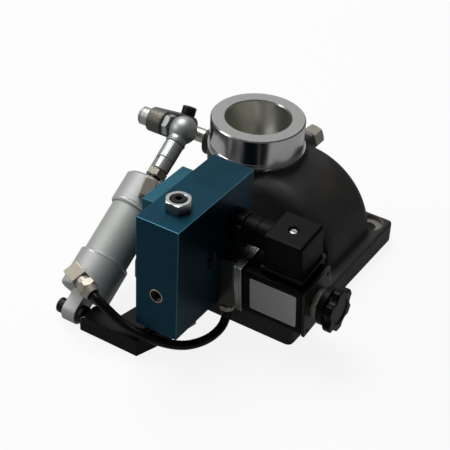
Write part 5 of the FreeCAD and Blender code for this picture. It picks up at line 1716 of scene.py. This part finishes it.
@dataclass
class Solenoid:
    """The solenoid valve: its body, yoke, coil, end plate, nut and knob."""

    axis_y: float = -85.5
    axis_z: float = 37.6
    turn: float = 6.0
    body_low: tuple[float, float, float] = (13.0, -103.0, 19.2)
    body_high: tuple[float, float, float] = (22.8, -79.0, 55.0)
    coil_low: tuple[float, float, float] = (28.65, -101.0, 20.6)
    coil_high: tuple[float, float, float] = (71.15, -70.0, 54.6)
    knob_x: float = 77.95
    tube_hole: float = 6.55
    sheets: int = 3
    sheet: float = 1.8
    sheet_gap: float = 0.15
    base: tuple[float, float, float, float] = (40.0, 67.8, -96.2, -68.2)
    base_height: float = 3.0
    label: tuple[float, float, float, float] = (34.0, 67.0, 24.9, 50.4)
    label_depth: float = 0.4
    label_corner: float = 1.6
    hose_low: tuple[float, float] = (17.5, -99.4)
    fitting_flats: float = 9.0
    fitting_height: float = 3.6
    nut_flats: float = 18.0
    nut_height: float = 4.5
    nut_turn: float = 8.0
    lobes: int = 6
    lobe_radius: float = 14.8
    lobe_bite: float = 5.5
    lobe_reach: float = 17.5
    lobe_turn: float = 62.0
    disc: tuple[float, float] = (6.2, 5.3)
    skirt: float = 12.4
    waist: float = 10.5

    def spin(self) -> Matrix:
        """The turn of the coil about the armature's axis."""
        to_axis = Matrix.Translation(Vector((0, self.axis_y, self.axis_z)))
        return to_axis @ Matrix.Rotation(math.radians(self.turn), 4, "X") @ to_axis.inverted()

    def on_axis(self, x: float) -> Vector:
        """A point on the armature's axis."""
        return Vector((x, self.axis_y, self.axis_z))

    def build(self) -> None:
        """Builds the valve body, the yoke, the coil and what holds it."""
        self.valve()
        self.yoke()
        self.coil()
        self.end()
        self.knob()

    def valve(self) -> None:
        """The valve's body and the hose fitting under it."""
        body = Solid.box(self.body_low, self.body_high).bevel(0.5, 2)
        low = Vector((*self.hose_low, self.body_low[2]))
        body.cut(Solid.rod(5.3, self.on_axis(17.8), self.on_axis(24)), Solid.bore(2.55, low, Z * 6, 0.3))
        for y in (-99.0, -83.0):
            spot = Vector((self.body_low[0] + 4.9, y, self.body_high[2]))
            body.cut(Solid.bore(1.6, spot, Z * -3, 0.3, steps=32))
        # The body's dark alloy is painted shade.
        body.place("valve_body_alloy", "frame", [VALVE_ALLOY_SHADED], ["valve_body"])
        high = Z * self.fitting_height
        fitting = Solid.hexagon(self.fitting_flats, low - high, high, 0.0, 0.5)
        fitting.join(Solid.rod(2.5, low - Z * 0.5, low + Z * 5, 32))
        fitting.cut(Solid.bore(1.2, low - high, Z * 12, 0.3, steps=24))
        fitting.place("hose_fitting_nickel", "frame", [NICKEL], ["hose_fitting"], 20)

    def yoke(self) -> None:
        """The three sheets of the yoke beside the valve body."""
        sheets = []
        for index in range(self.sheets):
            start = self.body_high[0] + index * (self.sheet + self.sheet_gap)
            low = (start, self.coil_low[1] - 1, self.coil_low[2] - 1)
            sheet = Solid.box(low, (start + self.sheet, self.coil_high[1], self.body_high[2] + 0.5))
            sheet.cut(Solid.rod(self.tube_hole, self.on_axis(start - 1), self.on_axis(start + 3)))
            sheets.append(sheet.bevel(0.25, 2))
        stack = sheets[0].add(*sheets[1:]).move(self.spin())
        stack.place("yoke_sheets_plated", "frame", [SHEET_STEEL], ["yoke_sheets"])

    def coil(self) -> None:
        """The moulded coil with its connector base and the bare plate on its face."""
        low, high = self.coil_low, self.coil_high
        coil = Solid.box(low, high).bevel(1.2, 3)
        near, far, front, back = self.base
        base = Solid.box((near, front, high[2] - 2), (far, back, high[2] + self.base_height)).bevel(0.4, 2)
        coil.join(base)
        left, right, under, over = self.label
        coil.cut(
            Solid.rod(self.tube_hole, self.on_axis(low[0] - 1), self.on_axis(high[0] + 1)),
            Solid.box((left, low[1] - 1, under), (right, low[1] + self.label_depth, over)),
        )
        coil.move(self.spin()).place("coil_moulded", "frame", [BLACK_PLASTIC], ["coil"])
        gap = 0.05
        left, right, under, over = left + gap, right - gap, under + gap, over - gap
        corners = rounded([(left, under), (right, under), (right, over), (left, over)], self.label_corner)
        label = Solid.prism([Vector((x, low[1], z)) for x, z in corners], Y * self.label_depth).bevel(0.08, 1)
        label.move(self.spin()).place("label_bare", "frame", [LABEL_METAL], ["label_plate"])

    def end(self) -> None:
        """The yoke's end plate and the nut that holds the coil."""
        low, high = self.coil_low, self.coil_high
        plate = Solid.box((high[0], low[1], low[2] - 1), (high[0] + 2.0, high[1], high[2]))
        plate.cut(Solid.rod(self.tube_hole, self.on_axis(high[0] - 1), self.on_axis(high[0] + 9)))
        for y, z in ((low[1] + 3.2, low[2] + 2.5), (high[1] - 3.2, high[2] - 3.5)):
            plate.cut(Solid.rod(1.3, Vector((high[0] - 1, y, z)), Vector((high[0] + 9, y, z)), 32))
        plate.bevel(0.2, 2).move(self.spin())
        plate.place("end_plate_sheet", "frame", [END_SHEET], ["coil_end_plate"])
        start = self.on_axis(high[0] + 2.0)
        nut = Solid.hexagon(self.nut_flats, start, X * self.nut_height, self.nut_turn, 0.9)
        nut.cut(Solid.bore(self.tube_hole, start + X * self.nut_height, X * -6, 0.4))
        nut.bevel(0.15, 1, 40).place("coil_nut_nickel", "frame", [NICKEL], ["coil_nut"], 20)

    def knob(self) -> None:
        """The hand knob: a round skirt, a slit, and a disc with six lobes."""
        start = self.on_axis(self.knob_x)
        disc_x, wide, narrow = start.x + self.disc[0], self.skirt, self.waist
        phase = math.radians(self.lobe_turn)
        lobes = lobed(self.lobe_radius, self.lobes, self.lobe_bite, self.lobe_reach, phase)
        rim = Solid.prism([Vector((disc_x, start.y + a, start.z + b)) for a, b in lobes], X * self.disc[1])
        rim.bevel(0.8, 3, 60)
        skirt = [(0, 0), (0, wide - 0.8), (0.8, wide), (4.4, wide), (5.0, wide - 0.6)]
        skirt += [(5.0, narrow), (7.0, narrow), (7.0, 0)]
        rim.join(Solid.turned(skirt, start, X, 96))
        rim.cut(Solid.rod(6.6, start - X, self.on_axis(86.45), 48))
        dish = Solid.turned([(-1, 0), (-1, 9.6), (0, 9.2), (0.7, 8.6), (0.7, 0)], start + X * 11.5, -X, 64)
        rim.cut(dish).place("knob_lobed", "knob", [KNOB_PLASTIC], ["hand_knob"])


@dataclass
class PlugConnector:
    """The plug connector on the coil with its seal, screw and cable gland."""

    low: tuple[float, float, float] = (40.0, -96.2, 60.2)
    high: tuple[float, float, float] = (67.0, -68.2, 84.2)
    gland_y: float = -82.2
    gland_z: float = 71.2
    barrel: float = 9.3
    barrel_ends: tuple[float, float] = (21.4, 44.0)
    gland_hole: float = 4.5
    panel: tuple[float, float, float] = (3.2, 3.0, 3.4)
    panel_depth: float = 0.5
    corner: float = 2.0
    screw_hole: float = 2.7
    screw_head: float = 2.4
    seal_low: float = 57.6
    nut_x: float = 14.2
    nut_length: float = 7.2
    nut_lobes: int = 8
    nut_radius: float = 10.6
    coil: Solenoid = field(default_factory=Solenoid)

    def build(self) -> None:
        """Builds the housing, the seal, the screw and the gland."""
        self.housing()
        self.seal_and_screw()
        self.gland()

    def on_gland(self, x: float) -> Vector:
        """A point on the gland's axis."""
        return Vector((x, self.gland_y, self.gland_z))

    def housing(self) -> None:
        """The housing with its panel, its screw's recess and the gland's barrel."""
        low, high = self.low, self.high
        body = Solid.box((low[0], low[1], low[2] - 6), high).bevel(self.corner, 4)
        body.cut(Solid.box((0, -120, low[2] - 9), (90, -40, low[2])))
        aside, under, over = self.panel
        deep = low[1] + self.panel_depth
        panel_low = (low[0] + aside, low[1] - 5, low[2] + under)
        panel = Solid.box(panel_low, (high[0] - aside, deep, high[2] - over)).bevel(0.6, 2)
        top = Vector(((low[0] + high[0]) / 2, self.gland_y, high[2]))
        body.cut(panel, Solid.bore(self.screw_hole, top, Z * -3.6, 0.9))
        (near, far), out = self.barrel_ends, self.barrel
        profile = [(near, 0), (near, out - 0.4), (near + 0.4, out), (30.0, out), (30.4, out - 0.4)]
        profile += [(31.2, out - 0.4), (31.6, out), (far, out), (far, 0)]
        body.join(Solid.turned(profile, self.on_gland(0), X, 96))
        body.cut(Solid.rod(self.gland_hole, self.on_gland(20), self.on_gland(46), 48))
        body.move(self.coil.spin()).place("connector_moulded", "frame", [BLACK_PLASTIC], ["plug_connector"])

    def seal_and_screw(self) -> None:
        """The flat seal under the housing, and the screw in its top."""
        low, high = self.low, self.high
        seal_high = (high[0] + 1.6, high[1] + 0.8, low[2])
        seal = Solid.box((low[0] - 0.8, low[1] - 0.8, self.seal_low), seal_high).bevel(0.4, 2)
        seal.move(self.coil.spin()).place("seal_rubber", "frame", [GREY_RUBBER], ["connector_seal"])
        top = Vector(((low[0] + high[0]) / 2, self.gland_y, high[2] - 1.2))
        head = self.screw_head
        screw = Solid.turned([(-2.4, 0), (-2.4, head), (-0.3, head), (0, head - 0.4), (0, 0)], top, Z, 48)
        screw.cut(Solid.box((top.x - 4, top.y - 0.45, top.z - 0.9), (top.x + 4, top.y + 0.45, top.z + 1)))
        screw.bevel(0.1, 1).move(self.coil.spin())
        screw.place("connector_screw_zinc", "frame", [ZINC], ["connector_screw"])

    def gland(self) -> None:
        """The gland's lobed nut and the rubber in it."""
        start = self.on_gland(self.nut_x)
        lobes = lobed(self.nut_radius, self.nut_lobes, 2.2, self.nut_radius + 1)
        nut = Solid.prism([start + Vector((0, a, b)) for a, b in lobes], X * self.nut_length)
        nut.bevel(0.7, 3, 60).cut(Solid.bore(self.gland_hole, start, X * 9, 0.8))
        nut.move(self.coil.spin()).place("gland_nut_moulded", "frame", [KNOB_PLASTIC], ["gland_nut"])
        profile = [(0, 0), (0, 2.6), (0.8, 3.4), (0.4, 4.45), (9, 4.45), (9, 0)]
        rubber = Solid.turned(profile, self.on_gland(self.nut_x + 1.5), X, 48)
        rubber.move(self.coil.spin()).place("gland_rubber", "frame", [RUBBER], ["gland_seal"])


@dataclass
class AirHose:
    """The air hose from the rear elbow's nut to the fitting under the valve."""

    radius: float = 3.0
    lead: float = 1.5
    length: float = 123.7
    middle: tuple[tuple[float, float, float], ...] = (
        (-37.4, -154.4, 26.8), (-28.0, -153.8, 20.8), (-17.0, -153.2, 17.2), (-6.0, -151.4, 15.2),
        (3.2, -145.6, 10.8), (10.4, -137.0, 6.6), (15.2, -127.6, 4.8), (17.9, -118.8, 4.2),
        (18.4, -110.6, 4.0), (18.1, -104.6, 4.6), (17.7, -100.9, 7.4), (17.5, -99.5, 11.0),
    )
    end: tuple[float, float, float] = (17.5, -99.4, 15.5)

    def build(self) -> None:
        """Builds the hose as one smooth curve on the route's points."""
        cylinder = AirCylinder()
        centre, way = cylinder.elbow()
        neck_end = cylinder.elbow_side / 2 + cylinder.neck
        start = centre + way * (neck_end + 0.3)
        clear = centre + way * (neck_end + cylinder.nut + cylinder.sleeve + self.lead)
        route = [start, clear, *map(Vector, self.middle), Vector(self.end)]
        data = bpy.data.curves.new("hose_smooth", "CURVE")
        data.dimensions = "3D"
        data.bevel_depth = self.radius * MM
        data.bevel_resolution = 8
        data.resolution_u = 12
        data.use_fill_caps = True
        spline = data.splines.new("NURBS")
        spline.points.add(len(route) - 1)
        for knot, point in zip(spline.points, route):
            knot.co = (*(point * MM), 1.0)
        spline.order_u = 3
        spline.use_endpoint_u = True
        data.materials.append(HOSE_SKIN.material())
        hose = bpy.data.objects.new("hose_smooth", data)
        bpy.context.scene.collection.objects.link(hose)
        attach(hose, "frame")
        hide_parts("air_hose")
        start * MM
        LOG.info("hose: %d route points", len(route))


@dataclass
class InnerParts:
    """The CAD nodes whose shape stays as it is, each with its finish."""

    finishes: dict[str, Finish] = field(
        default_factory=lambda: {
            "shaft_bushes": BRONZE,
            "shaft_seal": RUBBER,
            "outlet_gasket": RUBBER,
            "throttle_shaft": GROUND_STEEL,
            "throttle_disc": SHEET_STEEL,
            "disc_screws": ZINC,
            "piston": MACHINED,
            "piston_seal": RUBBER,
            "rod_seal": RUBBER,
            "return_spring": SPRING_STEEL,
            "spring_seat": GROUND_STEEL,
            "setting_spring": SPRING_STEEL,
            "pilot_piston": MACHINED,
            "armature_tube": GROUND_STEEL,
            "plunger": GROUND_STEEL,
        }
    )
    spring_low: float = 51.45
    spring_high: float = 80.65
    pilot_travel: float = 2.0

    def dress(self) -> None:
        """Gives each node its finish, and gives the setting spring a mesh of its own."""
        for name, finish in self.finishes.items():
            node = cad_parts[name]
            node.data.materials.clear()
            node.data.materials.append(finish.material())
            for face in node.data.polygons:
                face.material_index = 0
            LOG.info("%s: CAD node in %s", name, finish.name)
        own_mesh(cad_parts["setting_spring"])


# Studio


@dataclass(frozen=True)
class Lamp:
    """A square soft lamp, with its place and side in metres and its power in watts."""

    name: str
    place: tuple[float, float, float]
    side: float
    power: float


@dataclass
class Studio:
    """The camera, the lamps, the world and the pale floor."""

    lens: float = 102.168
    sensor: float = 36.0
    eye: tuple[float, float, float] = (335.1, -637.3, 529.8)
    right: tuple[float, float, float] = (0.8414, 0.5389, 0.0417)
    back: tuple[float, float, float] = (0.4168, -0.696, 0.5847)
    middle: tuple[float, float, float] = (0.0, -0.05, 0.05)
    lamps: tuple[Lamp, ...] = (
        Lamp("key_lamp", (-0.50, 0.15, 1.30), 0.8, 14.0),
        Lamp("left_lamp", (-1.1, -0.8, 0.8), 0.7, 6.0),
        Lamp("back_lamp", (-0.65, 1.10, 0.95), 1.3, 1.9),
    )
    sky: float = 0.10
    reach: float = 6.0
    drop: float = 0.0004
    paper_dark: float = 0.20
    paper_light: float = 0.90
    seen_glow: float = 0.88
    mirror_glow: float = 0.22

    def build(self) -> None:
        """Builds the camera first, then the lamps, the world and the floor."""
        self.camera()
        for lamp in self.lamps:
            self.hang(lamp)
        self.world()
        self.floor()

    def camera(self) -> None:
        """The camera at the photograph's place, turn and focal length."""
        data = bpy.data.cameras.new("camera")
        data.lens, data.sensor_width, data.clip_start, data.clip_end = self.lens, self.sensor, 0.01, 50.0
        camera = bpy.data.objects.new("camera", data)
        bpy.context.scene.collection.objects.link(camera)
        right, back = Vector(self.right).normalized(), Vector(self.back).normalized()
        turn = Matrix((right, back.cross(right), back)).transposed().to_4x4()
        camera.matrix_world = Matrix.Translation(Vector(self.eye) * MM) @ turn
        bpy.context.scene.camera = camera

    def hang(self, lamp: Lamp) -> None:
        """Hangs a lamp that looks at the part's middle.

        Args:
            lamp: the lamp.
        """
        data = bpy.data.lights.new(lamp.name, "AREA")
        data.energy, data.size = lamp.power, lamp.side
        light = bpy.data.objects.new(lamp.name, data)
        bpy.context.scene.collection.objects.link(light)
        light.matrix_world = aim(Vector(lamp.place), Vector(lamp.place) - Vector(self.middle))

    def world(self) -> None:
        """A dim pale sky for light, and a white one where the camera looks past the floor."""
        world = bpy.data.worlds.new("sky")
        bpy.context.scene.world = world
        world.use_nodes = True
        graph = world.node_tree
        dim, path = graph.nodes["Background"], graph.nodes.new("ShaderNodeLightPath")
        plain, both = graph.nodes.new("ShaderNodeBackground"), graph.nodes.new("ShaderNodeMixShader")
        for shade, strength in ((dim, self.sky), (plain, 1.0)):
            shade.inputs["Color"].default_value = (1.0, 1.0, 1.0, 1.0)
            shade.inputs["Strength"].default_value = strength
        graph.links.new(path.outputs["Is Camera Ray"], both.inputs[0])
        graph.links.new(dim.outputs[0], both.inputs[1])
        graph.links.new(plain.outputs[0], both.inputs[2])
        graph.links.new(both.outputs[0], graph.nodes["World Output"].inputs["Surface"])

    def floor(self) -> None:
        """The pale floor that the part stands on."""
        low = CAD_BOX[0].z - self.drop
        far = self.reach
        mesh = bpy.data.meshes.new("floor")
        corners = [(-far, -far, low), (far, -far, low), (far, far, low), (-far, far, low)]
        mesh.from_pydata(corners, [], [(0, 1, 2, 3)])
        floor = bpy.data.objects.new("floor", mesh)
        bpy.context.scene.collection.objects.link(floor)
        tree = Tree("pale_floor")
        seen = tree.node("ShaderNodeLightPath", output="Is Camera Ray")
        mirror = tree.node("ShaderNodeLightPath", output="Is Glossy Ray")
        through = tree.node("ShaderNodeLightPath", output="Is Transmission Ray")
        dark, light = (rgba((value, value, value)) for value in (self.paper_dark, self.paper_light))
        tone = tree.mix(seen, dark, light)
        paper = tree.node("ShaderNodeBsdfDiffuse", None, {"Color": tone}, "BSDF")
        white = {"Color": rgba((1.0, 1.0, 1.0)), "Strength": 1.0}
        glow = tree.node("ShaderNodeEmission", None, white, "Emission")
        share = self.seen_glow * (seen + through) + self.mirror_glow * mirror
        both = tree.node("ShaderNodeMixShader", None, {0: share, 1: paper, 2: glow}, "Shader")
        tree.end(both)
        mesh.materials.append(tree.material)


def main() -> None:
    """Builds the studio and every sub-assembly."""
    logging.basicConfig(level=logging.INFO, format="%(message)s")
    bpy.context.scene.view_settings.view_transform = "Standard"
    Studio().build()
    AirHose().build()
    kinds = (ValveCasting, ThrottleGear, RodEnd, AirCylinder, Bracket, ControlBlock, Solenoid, PlugConnector)
    for kind in kinds:
        kind().build()
    InnerParts().dress()


if __name__ == "__main__":
    main()
